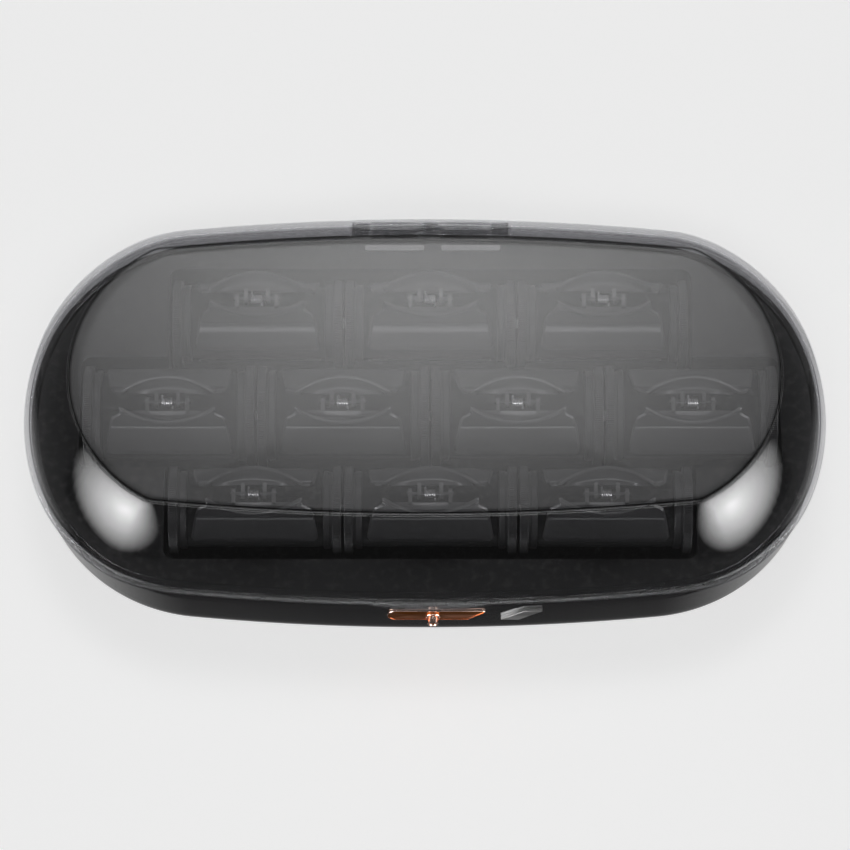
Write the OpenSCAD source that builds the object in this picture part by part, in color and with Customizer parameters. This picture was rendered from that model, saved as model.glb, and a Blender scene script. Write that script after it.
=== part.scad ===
// Portable heated roller set.
// An oblong two-part case with a see-through hinged lid. Ten wax-cored rollers
// lie in a stepped, heated tray, and a claw clip sits on each roller.
// +X is the case's length, -Y its front with the power button, +Z up.

/* [Rollers] */
// Length of every roller between its end faces
roller_l = 65; // [58:1:78]
// Radius of the end rims of the small rollers, in the two outer rows
small_rim_r = 16.5; // [15:0.5:20]
// Radius of the end rims of the large rollers, in the middle row
large_rim_r = 19; // [17:0.5:23]
// Step from a rim down to the barrel
rim_step = 2.7; // [2:0.1:3.5]
// Width of each ribbed end rim
rim_w = 3.4; // [2.5:0.1:5]
// Width of the groove behind each rim
groove_w = 0.8; // [0.5:0.1:1.5]
// Width of the smooth collar inside each groove
collar_w = 2.6; // [1.5:0.1:4]
// Height of the collar above the barrel
collar_h = 1; // [0.5:0.1:1.5]
// Wall of the barrel around its core
barrel_wall = 2; // [1.5:0.1:3]
// Thickness of the barrel's closed ends
end_wall = 2; // [1.5:0.1:3]
// Radius of the core's end studs
stud_r = 2; // [1.5:0.1:3]
// How far a stud stands out of the roller's end
stud_out = 0.35; // [0.2:0.05:0.4]
// Gap between two rollers in a row
roller_gap = 1; // [0.9:0.1:3]
// Gap between the rims of neighbouring rows
row_gap = 3.5; // [3:0.1:8]

/* [Clips] */
// Height of the clip's pivot above the barrel's surface
pivot_h = 7.8; // [7:0.1:12]
// Wall of the clip's moulded halves
clip_wall = 1.6; // [1.2:0.1:2]
// Gap between a closed jaw and the barrel
jaw_gap = 0.6; // [0.4:0.1:1]
// Length of the jaw's edge
jaw_edge_l = 47; // [38:0.5:50]
// Length of the clip where handle and jaw meet
clip_top_l = 40; // [30:0.5:44]
// Angle of the jaw's edge from the clip's middle plane, about the roller
jaw_angle = 64; // [55:1:70]
// How far the handle bows out from the pivot
handle_bow = 9.6; // [8:0.1:11]
// How far the handle stands above the pivot
handle_h = 4.5; // [3.5:0.1:7]
// Forward lean of the clips in the rear, middle and front rows
clip_lean = [0, 12, 7];
// Radius of the clip's pin
pin_r = 0.7; // [0.5:0.05:0.9]
// Radius of the clip spring's wire
spring_wire_r = 0.4; // [0.3:0.05:0.5]
// Turns in the clip's spring
spring_turns = 5; // [3:1:5]

/* [Case] */
// Gap from the middle row's end rims to the lid's rim
end_margin = 19.1; // [17:0.1:30]
// Gap from the outer rows' rims to the lid's rim
side_margin = 24.9; // [23:0.1:35]
// Radius of the bowed long sides
side_r = 900; // [700:10:1500]
// How much larger than half the depth the end radius is
end_r_extra = 11.6; // [5:0.1:20]
// Radius of the blend between long side and end
blend_r = 70; // [50:1:72]
// Sideways place of the rollers, button and hinge
mid_x = 2; // [-3:0.5:3]
// Place of the middle row, behind the case's middle
mid_y = 2.5; // [0:0.5:3]
// Wall of the base
base_wall = 2.2; // [1.8:0.1:3]
// How far the lid's rim overhangs the base
lid_overhang = 2.8; // [2.4:0.1:3.5]
// Height of the base's top edge above the table
base_h = 34; // [33:0.5:42]
// Radius of the base's bottom edge
base_round = 9; // [6:0.5:10]
// Inward lean of the base's wall from top to bottom
base_draft = 1; // [0.5:0.1:2]

/* [Lid] */
// Height of the lid above its rim
lid_h = 40.2; // [36:0.2:52]
// Wall of the lid
lid_wall = 2; // [1.6:0.1:2.6]
// Gap between the lid's rim and the base
rim_gap = 0.3; // [0.2:0.1:0.6]
// How far the top panel's ends lie inside the rim
panel_in_x = 18.6; // [16:0.1:30]
// How far the top panel's sides lie inside the rim
panel_in_y = 22.5; // [20:0.1:30]
// Rise of the crowned top panel
panel_crown = 0.8; // [0.4:0.1:1.5]
// Slope of the lid's side at the rim
rim_slope = 81; // [78:1:84]
// Width of the ledge inside the lid's rim
ledge_w = 3.4; // [3.2:0.1:4.5]
// Thickness of the ledge
ledge_h = 1.4; // [1:0.1:2]
// Length of the thumb lip
lip_l = 46; // [30:1:60]
// Height of the thumb lip
lip_h = 2.4; // [1.6:0.1:3]
// How far the thumb lip bulges out of the lid's front
lip_out = 2.2; // [1:0.1:2.8]
// How far the lid's front edge is drawn in, to lie almost flush with the base
front_in = 2.6; // [1:0.1:2.8]
// Half length of the drawn-in front edge
front_flat = 88; // [60:1:100]

/* [Hinge] */
// Spacing of the base's three knuckles
knuckle_pitch = 27; // [20:0.5:40]
// Length of a base knuckle
knuckle_l = 6.5; // [4:0.1:9]
// Radius of the knuckles
knuckle_r = 2.4; // [2.1:0.1:2.8]
// Radius of the hinge pin
hinge_pin_r = 1; // [0.8:0.05:1.3]
// Gap at the ends of each knuckle
knuckle_gap = 0.3; // [0.2:0.05:0.6]
// Height of the hinge's axis above the base's top edge
hinge_z_over = 1.6; // [1.5:0.1:2]

/* [Tray] */
// Thickness of the tray's deck and walls
tray_wall = 1.5; // [1.2:0.1:2]
// Depth of the deck below the base's top edge
deck_drop = 1.2; // [0.8:0.1:2]
// Depth of the rollers' axes below the base's top edge
axis_drop = 4.5; // [4:0.1:8]
// Gap from the rollers' ends to the well
well_gap_x = 2; // [1.5:0.1:4]
// Gap from the outer rims to the well's front and rear
well_gap_y = 5; // [3:0.1:7]
// Radius of the well's corners
well_corner_r = 4; // [2:0.5:6]
// Gap between the rims and the tray's floor
floor_gap = 0.5; // [0.3:0.1:1]
// Thickness of the cradle ribs
cradle_w = 2.4; // [1.6:0.1:3]

/* [Heater] */
// Thickness of the heater plate
plate_t = 1.5; // [1:0.1:1.6]
// Width of the saddle under each barrel
saddle_w = 15; // [10:0.5:18]
// Length of the saddle under each barrel
saddle_l = 46; // [30:1:48]
// Gap between the saddle and the barrel
saddle_gap = 0.4; // [0.3:0.1:0.8]
// Thickness of the heating elements
element_t = 1.4; // [1:0.1:1.5]
// Thickness of the insulation sheet
insulation_t = 0.5; // [0.3:0.1:0.6]

/* [Controls] */
// Radius of the power button
button_r = 2; // [1.8:0.1:3.4]
// Travel of the button
button_travel = 1.2; // [0.6:0.1:1.5]
// Height of the controls above the table
control_z = 25.4; // [22:0.1:26]
// Length of the copper strip
strip_l = 37.6; // [25:0.2:50]
// Height of the copper strip
strip_h = 8.6; // [6:0.2:9]
// Thickness of the copper strip
strip_t = 1.1; // [0.8:0.1:1.4]
// Place of the strip's middle, from the button
strip_dx = 1.5; // [0:0.1:6]
// Height of the slanted indicator lens
lens_h = 8.6; // [6:0.2:9]
// Width of the slanted indicator lens
lens_w = 6.6; // [4:0.2:9]
// Sideways lean of the lens from bottom to top
lens_lean = 8.8; // [0:0.2:10]
// Place of the lens, from the button
lens_dx = 33.3; // [30:0.1:38]

/* [Fittings] */
// Height of the rubber feet
foot_h = 2.5; // [2:0.1:4]
// Radius of the rubber feet
foot_r = 7; // [4:0.5:9]
// Radius of the case screws
screw_r = 1.5; // [1.2:0.1:1.8]
// Width of the power inlet
inlet_w = 21; // [18:0.5:26]
// Height of the power inlet
inlet_h = 12; // [11:0.5:13]
// Depth of the power inlet
inlet_d = 9; // [8.5:0.1:9.5]
// Place of the power inlet along the rear wall
inlet_x = -62; // [-70:1:-50]
// Height of the power inlet's middle above the table
inlet_z = 17.4; // [15:0.1:19]
// Diameter of the wires
wire_d = 1.8; // [1.2:0.1:2.4]

/* [Hidden] */
$fn = 48;
eps = 0.01;
slip = 0.1;              // clearance of pieces that drop into each other
run = 0.05;              // radial clearance of pins in their bores

// rollers: rows are rear, middle, front
row_count = [3, 4, 3];
pitch_x = roller_l + roller_gap;
pitch_y = small_rim_r + large_rim_r + row_gap;
row_y = [mid_y + pitch_y, mid_y, mid_y - pitch_y];
row_rim = [small_rim_r, large_rim_r, small_rim_r];
axis_z = base_h - axis_drop;
roller_list = [for (row = [0:2], k = [0:row_count[row] - 1])
    [row, mid_x + (k - (row_count[row] - 1) / 2) * pitch_x]];
function barrel_r(row) = row_rim[row] - rim_step;
function pivot_z(row) = barrel_r(row) + pivot_h;

// lid rim and panel outlines: half length, half depth, side, end and blend radius
rim_a = 2 * pitch_x - roller_gap / 2 + end_margin + mid_x;
rim_b = pitch_y + small_rim_r + side_margin;
rim = [rim_a, rim_b, side_r, rim_b + end_r_extra, blend_r];
panel = [rim_a - panel_in_x, rim_b - panel_in_y, side_r + 60, rim_b - panel_in_y + 1, 12];
base_top = inset(rim, lid_overhang);
base_in = inset(base_top, base_wall);
floor_z = foot_h + base_wall;
deck_z = base_h - deck_drop;

// hinge, flush with the back of the lid
hinge_y = rim_b - knuckle_r / 2;
hinge_z = base_h + hinge_z_over;
knuckle_x = [for (k = [-1:1]) mid_x + k * knuckle_pitch];
hinge_l = 2 * knuckle_pitch + knuckle_l;

// tray well: half length and half depth of each zone
zone_x = [for (n = row_count) (n * roller_l + (n - 1) * roller_gap) / 2 + well_gap_x];
outer_zone_y = pitch_y + small_rim_r + well_gap_y;
mid_zone_y = large_rim_r + well_gap_y - 1;
zone_floor = [for (r = row_rim) axis_z - r - floor_gap];

// heater stack, from the tray's middle floor downwards
plate_top = zone_floor[1] - tray_wall;
plate_z = plate_top - plate_t;
element_z = plate_z - element_t;

// thermostat and thermal fuse, in the free corners beside the front zone
stat_x = mid_x + zone_x[0] + 9;
stat_y = mid_y - mid_zone_y - 10;
fuse_x = mid_x - zone_x[0] - 10;
fuse_y = stat_y;

// front wall and controls
front_y = -base_top[1];
button_x = mid_x + 1;
button_out = hinge_y + knuckle_r + front_y;    // as far forward as the knuckles reach back
stem_y = front_y + base_wall + 4.2;
board_y = stem_y + button_travel + 2.3;
board_t = 1.6;
board_x = [button_x - 17, button_x + 44];
board_z = [floor_z + 2, base_h - 5];
screw_y = mid_zone_y + 18;
screw_at = [for (sx = [-1, 1], sy = [-1, 1]) [sx * (zone_x[0] + 16), sy * screw_y]];
foot_at = [for (sx = [-1, 1], sy = [-1, 1]) [sx * (rim_a - 50), sy * (rim_b - 32)]];
inlet_y = rim_b - lid_overhang - inlet_x * inlet_x / (2 * side_r) - 0.4;

// An oblong outline moved inwards by d keeps the centres of its arcs.
function inset(o, d) = [o[0] - d, o[1] - d, o[2] - d, o[3] - d, max(o[4] - d, 3)];
function blend(o, p, f) = [for (i = [0:4]) o[i] + (p[i] - o[i]) * f];

// Outline points: an end arc, a blend arc and a side arc, tangent to each other,
// in each quarter. The blend's centre lies where two enlarged arcs cross.
arc_steps = 6;
function quarter(o) =
    let (c1 = [0, o[1] - o[2]], c3 = [o[0] - o[3], 0], d = norm(c3 - c1),
         p = o[2] - o[4], q = o[3] - o[4],
         m = (p * p - q * q + d * d) / (2 * d), h = sqrt(max(p * p - m * m, 0)),
         u = (c3 - c1) / d, c2 = c1 + m * u + h * [u[1], -u[0]],
         t1 = atan2(c2[1] - c1[1], c2[0] - c1[0]), t3 = atan2(c2[1] - c3[1], c2[0] - c3[0]))
    concat([for (i = [0:arc_steps - 1]) c3 + o[3] * dir(t3 * i / arc_steps)],
           [for (i = [0:arc_steps - 1]) c2 + o[4] * dir(t3 + (t1 - t3) * i / arc_steps)],
           [for (i = [0:arc_steps]) c1 + o[2] * dir(t1 + (90 - t1) * i / arc_steps)]);
function dir(t) = [cos(t), sin(t)];
function flip(q, sx, sy) = [for (p = q) [sx * p[0], sy * p[1]]];
function back(q) = [for (i = [len(q) - 1:-1:0]) q[i]];
function tail(q) = [for (i = [1:len(q) - 1]) q[i]];
function head(q) = [for (i = [0:len(q) - 2]) q[i]];
function outline(o) = let (q = quarter(o))
    concat(q, tail(back(flip(q, -1, 1))), tail(flip(q, -1, -1)), head(tail(back(flip(q, 1, -1)))));
function ring(o, z) = [for (p = outline(o)) [p[0], p[1], z]];

// A closed skin through a list of rings, from the outer middle to the inner middle.
module skin(rings, z_first, z_last) {
    n = len(rings[0]);
    m = len(rings);
    pts = concat([for (r = rings, p = r) p], [[0, 0, z_first], [0, 0, z_last]]);
    first = n * m;
    fans = [for (i = [0:n - 1]) let (j = (i + 1) % n)
        each [[first, i, j], [first + 1, n * (m - 1) + j, n * (m - 1) + i]]];
    strips = [for (k = [0:m - 2], i = [0:n - 1]) let (j = (i + 1) % n, a = k * n, b = a + n)
        each [[a + i, b + i, b + j], [a + i, b + j, a + j]]];
    polyhedron(points = pts, faces = concat(fans, strips), convexity = 6);
}

// Cylinder along X or Y through a given middle
module bar_x(r, l) { rotate([0, 90, 0]) cylinder(r = r, h = l, center = true); }
module bar_y(r, l) { rotate([90, 0, 0]) cylinder(r = r, h = l, center = true); }
module box(x, y, z) { translate([x[0], y[0], z[0]]) cube([x[1] - x[0], y[1] - y[0], z[1] - z[0]]); }

// Rectangle with true round corners
module round_rect(w, d, r) {
    square([w, d - 2 * r], center = true);
    square([w - 2 * r, d], center = true);
    for (sx = [-1, 1], sy = [-1, 1]) translate([sx * (w / 2 - r), sy * (d / 2 - r)]) circle(r);
}

// ---- base ---------------------------------------------------------------

// Height and inset of the base's skin: wall with a little draft, round bottom edge
function edge_rings(o, r, z0, draft) = [for (i = [0:5]) let (t = 90 * i / 5)
    ring(inset(o, draft + r * (1 - sin(t))), z0 + r * (1 - cos(t)))];

module base_skin() {
    inner_r = base_round - base_wall;
    outer = edge_rings(base_top, base_round, foot_h, base_draft);
    inner = edge_rings(base_in, inner_r, floor_z, base_draft);
    skin(concat(outer, [ring(base_top, base_h), ring(base_in, base_h)], back(inner)), foot_h, floor_z);
}

module base_knuckle() {
    rotate([0, 90, 0]) cylinder(r = knuckle_r, h = knuckle_l, center = true);
    translate([-knuckle_l / 2, -knuckle_r - 1.4, -6]) cube([knuckle_l, knuckle_r + 1.4, 6]);
}

module board_post(x) {
    translate([x - 2, board_y - 2, floor_z - eps]) cube([4, 5.6, board_z[1] - floor_z - 2]);
}

module base_shell() color([0.06, 0.06, 0.07]) difference() {
    union() {
        difference() {
            base_skin();
            translate([mid_x, hinge_y, hinge_z]) bar_x(knuckle_r + 0.5, hinge_l + 1);
        }
        for (x = knuckle_x) translate([x, hinge_y, hinge_z]) base_knuckle();
        for (p = screw_at) translate([p[0], p[1], floor_z - eps]) cylinder(r = 4.4, h = 4);
        for (x = board_x) board_post(x);
    }
    translate([mid_x, hinge_y, hinge_z]) bar_x(hinge_pin_r + run, hinge_l + 2);
    for (p = screw_at) translate([p[0], p[1], 0]) {
        cylinder(r = screw_r + 0.3, h = base_h / 2);
        cylinder(r = screw_r + 1.8, h = floor_z + 1.4);
    }
    for (p = foot_at) translate([p[0], p[1], foot_h - 1]) cylinder(r = foot_r + slip, h = 1.6);
    box([board_x[0] - eps, board_x[1] + eps], [board_y - slip, board_y + board_t + slip],
        [board_z[0] - slip, base_h - 3.5]);
    translate([button_x, front_y, control_z]) bar_y(button_r + 0.2, 3 * base_wall);
    strip_hole();
    lens_body(slip, 6);
    box([inlet_x - inlet_w / 2 - slip, inlet_x + inlet_w / 2 + slip],
        [inlet_y - inlet_d + 1, inlet_y + 4], [inlet_z - inlet_h / 2 - slip, inlet_z + inlet_h / 2 + slip]);
}

module strip_hole() {
    w = strip_l / 2 + slip;
    box([button_x + strip_dx - w, button_x + strip_dx + w], [front_y - 1, front_y + 0.7],
        [control_z - strip_h / 2 - slip, control_z + strip_h / 2 + slip]);
}

// Screws, heads in the base's underside
module case_screws() color([0.7, 0.7, 0.72]) for (p = screw_at) translate([p[0], p[1], floor_z + 1.4]) {
    translate([0, 0, -2]) cylinder(r = screw_r + 1.5, h = 2);
    translate([0, 0, -eps]) cylinder(r = screw_r, h = 14);
}

module rubber_feet() color([0.12, 0.12, 0.12]) for (p = foot_at) translate([p[0], p[1], 0]) {
    cylinder(r = foot_r, h = foot_h + 0.6);
}

// ---- lid ----------------------------------------------------------------

// Place on the lid's side: an arc that starts steep at the rim and ends at the panel
function side_arc(f, d) =
    let (chord = atan2(lid_h - d, panel_in_y), half = rim_slope - chord,
         r = norm([lid_h - d, panel_in_y]) / (2 * sin(half)), t = rim_slope - 2 * half * f)
    [r * (sin(rim_slope) - sin(t)) / panel_in_y, r * (cos(t) - cos(rim_slope))];
// The lid's outline at share f of the way from rim to panel, its front edge drawn in
function ease(t) = let (c = min(max(t, 0), 1)) c * c * (3 - 2 * c);
function front_shift(x) = front_in * ease((front_flat + 36 - abs(x)) / 36);
function lid_ring(o, z, f) = [for (p = outline(o))
    [p[0], p[1] < 0 ? p[1] + (1 - f) * front_shift(p[0]) : p[1], z]];
function lid_rings(w, d, steps) = [for (i = [0:steps]) let (s = side_arc(i / steps, d))
    lid_ring(blend(inset(rim, w), inset(panel, w), s[0]), rim_z + s[1], s[0])];
function crown_ring(w, f, z) = let (p = inset(panel, w))
    ring([p[0] * f, p[1] * f, p[2] * f, p[3] * f, p[4] * f], z);
rim_z = base_h + rim_gap;
lid_top = rim_z + lid_h;

module lid_skin() {
    outer = lid_rings(0, 0, 7);
    inner = lid_rings(lid_wall, lid_wall, 7);
    crown = crown_ring(0, 0.6, lid_top + panel_crown * 0.75);
    under = crown_ring(lid_wall, 0.6, lid_top - lid_wall + panel_crown * 0.75);
    inner_up = [for (i = [1:7]) inner[i]];
    ledge = [lid_ring(inset(rim, lid_wall + ledge_w), rim_z, 0),
             lid_ring(inset(rim, lid_wall + ledge_w), rim_z + ledge_h, 0),
             lid_ring(inset(rim, lid_wall + 0.1), rim_z + ledge_h + 0.8, 0)];
    skin(back(concat([crown], back(outer), ledge, inner_up, [under])),
         lid_top - lid_wall + panel_crown, lid_top + panel_crown);
}

// A bulge whose front is one arc, over the length of the lip
module thumb_lip() {
    front = front_in - rim_b;
    r = lip_l * lip_l / (8 * lip_out) + lip_out / 2;
    intersection() {
        box([mid_x - lip_l / 2, mid_x + lip_l / 2], [front - lip_out, front + 1.2], [rim_z, rim_z + lip_h]);
        translate([mid_x, front - lip_out + r, rim_z]) cylinder(r = r, h = lip_h, $fn = 192);
    }
}

module lid_shell() color([0.25, 0.25, 0.27, 0.6]) difference() {
    union() {
        difference() {
            lid_skin();
            for (x = knuckle_x) translate([x, hinge_y, hinge_z]) {
                bar_x(knuckle_r + 0.5, knuckle_l + 2 * knuckle_gap);
                translate([-knuckle_l / 2 - knuckle_gap, -6, -4])
                    cube([knuckle_l + 2 * knuckle_gap, 10, 4 + knuckle_r]);
            }
        }
        for (k = [0, 1]) translate([mid_x + (k - 0.5) * knuckle_pitch, hinge_y, hinge_z])
            bar_x(knuckle_r, knuckle_pitch - knuckle_l - 2 * knuckle_gap);
        thumb_lip();
    }
    translate([mid_x, hinge_y, hinge_z]) bar_x(hinge_pin_r + run, hinge_l + 2);
}

module hinge_pin() color([0.75, 0.75, 0.77]) translate([mid_x, hinge_y, hinge_z]) bar_x(hinge_pin_r, hinge_l);

// ---- tray and heater ------------------------------------------------------

// The stepped well: three zones that overlap; grow widens them by a wall
module well(grow, top) {
    low = [for (z = zone_floor) z - grow];
    translate([mid_x, mid_y, low[0]]) linear_extrude(top - low[0])
        round_rect(2 * (zone_x[0] + grow), 2 * (outer_zone_y + grow), well_corner_r + grow);
    translate([mid_x, mid_y, low[1]]) linear_extrude(top - low[1])
        round_rect(2 * (zone_x[1] + grow), 2 * (mid_zone_y + grow), well_corner_r + grow);
}

// Two ribs under each roller, cut out round for its end rims
module cradles() difference() {
    for (r = roller_list, s = [-1, 1]) translate([r[1] + s * (roller_l - rim_w) / 2, row_y[r[0]], 0])
        box([-cradle_w / 2, cradle_w / 2], [-0.78 * row_rim[r[0]], 0.78 * row_rim[r[0]]],
            [zone_floor[r[0]] - eps, axis_z - 0.62 * row_rim[r[0]]]);
    for (row = [0:2]) translate([mid_x, row_y[row], axis_z])
        bar_x(row_rim[row] + floor_gap - slip, 2 * zone_x[1] + 20);
}

module roller_tray() color([0.08, 0.08, 0.085]) difference() {
    union() {
        difference() {
            union() {
                translate([0, 0, deck_z - tray_wall]) linear_extrude(tray_wall)
                    polygon(outline(inset(base_in, 0.3)));
                well(tray_wall, deck_z);
            }
            well(0, deck_z + 1);
        }
        cradles();
        for (p = screw_at) translate([p[0], p[1], floor_z + 4 + slip])
            cylinder(r = 3.6, h = deck_z - tray_wall - floor_z - 4);
    }
    for (p = screw_at) translate([p[0], p[1], floor_z]) cylinder(r = screw_r + run, h = 17);
    for (r = roller_list) translate([r[1], row_y[r[0]], plate_top - 1])
        box([-saddle_l / 2 - 0.5, saddle_l / 2 + 0.5], [-saddle_w / 2 - 0.5, saddle_w / 2 + 0.5], [0, 6]);
}

// Aluminium plate with a hollow-topped saddle under each barrel
module heater_plate() color([0.78, 0.78, 0.8]) difference() {
    union() {
        box([mid_x - zone_x[0] + 4, mid_x + zone_x[0] - 4],
            [mid_y - outer_zone_y + 12, mid_y + outer_zone_y - 12], [plate_z, plate_top]);
        box([mid_x - zone_x[1] + 8, mid_x + zone_x[1] - 8],
            [mid_y - mid_zone_y - 16, mid_y + mid_zone_y - 4], [plate_z, plate_top]);
        for (r = roller_list) translate([r[1], row_y[r[0]], plate_z])
            box([-saddle_l / 2, saddle_l / 2], [-saddle_w / 2, saddle_w / 2],
                [0, axis_z - 0.8 * barrel_r(r[0]) - plate_z]);
    }
    for (row = [0:2]) translate([mid_x, row_y[row], axis_z])
        bar_x(barrel_r(row) + saddle_gap, 2 * zone_x[1] + 20);
}

module heating_elements() color([0.85, 0.8, 0.7]) for (row = [0:2])
    translate([mid_x, row_y[row] - (row - 1) * 6, element_z])
        box([-70, 70], [-10, 10], [0, element_t]);

module insulation_sheet() color([0.8, 0.76, 0.62])
    box([mid_x - 85, mid_x + 85], [mid_y - pitch_y - 5, mid_y + pitch_y + 5],
        [element_z - insulation_t - slip, element_z - slip]);

module thermostat() color([0.85, 0.83, 0.78])
    translate([stat_x, stat_y, plate_top]) {
        cylinder(r = 7, h = 5);
        translate([0, 0, 5 - eps]) cylinder(r = 4.5, h = 4);
    }

module thermal_fuse() color([0.9, 0.88, 0.8])
    translate([fuse_x, fuse_y, plate_top]) {
        box([-7, 7], [-3, 3], [0, 5]);
        translate([0, 0, 2.5]) bar_x(0.5, 16);
    }

// ---- controls ---------------------------------------------------------------

module front_strip() color([0.55, 0.27, 0.12]) difference() {
    translate([button_x + strip_dx, front_y + 0.7, control_z]) rotate([90, 0, 0]) linear_extrude(strip_t)
        round_rect(strip_l, strip_h, 1.5);
    translate([button_x, front_y, control_z]) bar_y(button_r + 0.2, 6);
}

module button_bezel() color([0.85, 0.55, 0.45]) translate([button_x, front_y + 0.7 - strip_t, control_z])
    rotate([90, 0, 0]) difference() {
        cylinder(r = button_r + 0.8, h = 0.8);
        translate([0, 0, -1]) cylinder(r = button_r + 0.2, h = 3);
    }

module power_button() color([0.1, 0.1, 0.1]) translate([button_x, front_y - button_out, control_z])
    rotate([-90, 0, 0]) {
        cylinder(r = button_r, h = button_out + base_wall + 1);
        translate([0, 0, button_out + base_wall + base_draft]) cylinder(r = button_r + 1.2, h = 1.2);
        cylinder(r = 1.4, h = button_out + stem_y - front_y);
    }

module button_switch() color([0.2, 0.2, 0.22]) {
    y0 = stem_y + button_travel + slip;
    box([button_x - 3.5, button_x + 3.5], [y0, board_y], [control_z - 3.5, control_z + 3.5]);
}

module lens_body(grow, depth) {
    low = (lens_w + lens_lean) / 2;
    h = lens_h / 2 + grow;
    translate([button_x + lens_dx, front_y - 0.3, control_z]) rotate([90, 0, 0])
        translate([0, 0, -depth]) linear_extrude(depth)
            polygon([[-low - grow, -h], [lens_w - low + grow, -h], [low + grow, h], [low - lens_w - grow, h]]);
}

module indicator_lens() color([0.8, 0.8, 0.82]) lens_body(0, base_wall + 0.5);

module indicator_led() color([0.9, 0.3, 0.2]) translate([button_x + lens_dx, board_y, control_z])
    rotate([90, 0, 0]) {
        cylinder(r = 1.5, h = 3.4);
        translate([0, 0, 3.4]) sphere(r = 1.5);
    }

module circuit_board() color([0.1, 0.35, 0.2]) {
    box(board_x, [board_y, board_y + board_t], board_z);
    for (k = [0:2]) box([board_x[0] + 24 + 9 * k, board_x[0] + 30 + 9 * k],
        [board_y + board_t - eps, board_y + board_t + 3], [control_z - 3, control_z + 3]);
}

// Socket with two contact pins for a figure-eight plug
module power_inlet() color([0.15, 0.15, 0.16]) translate([inlet_x, inlet_y, inlet_z]) {
    difference() {
        box([-inlet_w / 2, inlet_w / 2], [-inlet_d, 0], [-inlet_h / 2, inlet_h / 2]);
        box([-7.4, 7.4], [2 - inlet_d, 1], [-4, 4]);
    }
    for (s = [-1, 1]) translate([s * 4.3, 0.5 - inlet_d / 2 + 0.4, 0]) bar_y(1.2, inlet_d - 2);
}

// Insulated wires: one eight-sided tube through each wire's points, mitred at the bends
function unit(v) = v / norm(v);
function wire_ring(p, v, c) = let (a = unit(cross(v, [0, 0, 1])), b = cross(a, v), r = wire_d / 2)
    [for (k = [0:7]) p + r * (cos(45 * k) * a / c + sin(45 * k) * b)];
module wire(p) {
    last = len(p) - 1;
    into = [for (i = [0:last]) unit(p[max(i, 1)] - p[max(i, 1) - 1])];
    away = [for (i = [0:last]) unit(p[min(i, last - 1) + 1] - p[min(i, last - 1)])];
    pts = [for (i = [0:last]) each wire_ring(p[i], unit(into[i] + away[i]), norm(into[i] + away[i]) / 2)];
    strips = [for (i = [0:last - 1], k = [0:7]) let (j = (k + 1) % 8, a = 8 * i, b = a + 8)
        each [[a + k, b + k, b + j], [a + k, b + j, a + j]]];
    polyhedron(points = pts, convexity = 8,
        faces = concat([[for (k = [0:7]) k]], strips, [[for (k = [7:-1:0]) 8 * last + k]]));
}

// Mains wire from the inlet round the left end to the fuse, and a wire from the board
// to the fuse and to the thermostat, all under the tray
module wiring() color([0.75, 0.1, 0.08]) {
    low = floor_z + 2.5;
    left = mid_x - zone_x[1] + 4.5;
    board_back = board_y + board_t + slip;
    under_y = mid_y - outer_zone_y + 1.5;
    wire([[inlet_x - inlet_w / 2 - wire_d / 2 - slip, inlet_y - 6, inlet_z],
          [inlet_x - inlet_w / 2 - 4.5, inlet_y - 7.3, floor_z + 4.8],
          [mid_x - zone_x[0] + 14.5, mid_y + outer_zone_y - 3, low], [mid_x - zone_x[0] - 9.5, screw_y + 11, low],
          [left + 5, screw_y + 7, low], [left, screw_y - 5, low], [left, mid_y - mid_zone_y - 3, low],
          [left, mid_y - mid_zone_y - 11, plate_top + 2.5],
          [fuse_x - 12.5, fuse_y - 2.5, plate_top + 2.5], [fuse_x - 9.2, fuse_y, plate_top + 2.5]]);
    wire([[fuse_x + 3.5, fuse_y - 4.1, plate_top + 2.5], [fuse_x + 5.5, fuse_y - 15.5, low],
          [mid_x - zone_x[0] + 18.5, under_y + 2.5, low], [board_x[0] - 6, under_y, low],
          [board_x[0] + 6, under_y - 2.5, low + 1.3], [board_x[0] + 8, board_back + 3.5, low + 1.8],
          [board_x[0] + 8, board_back, low + 1.8]]);
    wire([[board_x[1] - 6, board_back, low + 1.8], [board_x[1] - 6, board_back + 3.5, low + 1.8],
          [board_x[1] - 4, under_y - 2.5, low + 1.3], [board_x[1] + 8, under_y, low],
          [mid_x + zone_x[0] - 18.5, under_y + 2.5, low], [stat_x - 5.5, stat_y - 15.5, low],
          [stat_x - 2, stat_y - 8.3, plate_top + 2.5]]);
}

// ---- rollers and clips ---------------------------------------------------------

// Barrel with ribbed rims and smooth collars, and the heat-storing core inside it
module roller(i) {
    row = roller_list[i][0];
    r = barrel_r(row);
    bore = r - barrel_wall;
    half = roller_l / 2;
    in1 = half - rim_w;
    in2 = in1 - groove_w;
    translate([roller_list[i][1], row_y[row], axis_z]) rotate([0, 90, 0]) {
        color([0.12, 0.12, 0.13]) rotate_extrude($fn = 72) {
            translate([bore, -half]) square([barrel_wall, roller_l]);
            for (s = [0, 1]) mirror([0, s]) {
                translate([bore, in1]) square([row_rim[row] - bore, rim_w]);
                translate([bore, in2 - collar_w]) square([barrel_wall + collar_h, collar_w]);
                translate([stud_r + slip, half - end_wall]) square([bore - stud_r, end_wall]);
            }
        }
        color([0.75, 0.75, 0.77]) {
            cylinder(r = bore - slip, h = roller_l - 2 * (end_wall + slip), center = true);
            cylinder(r = stud_r, h = roller_l + 2 * stud_out, center = true);
        }
    }
}

module on_roller(i) {
    row = roller_list[i][0];
    translate([roller_list[i][1], row_y[row], axis_z]) rotate([clip_lean[row], 0, 0])
        translate([0, 0, pivot_z(row)]) children();
}

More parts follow.
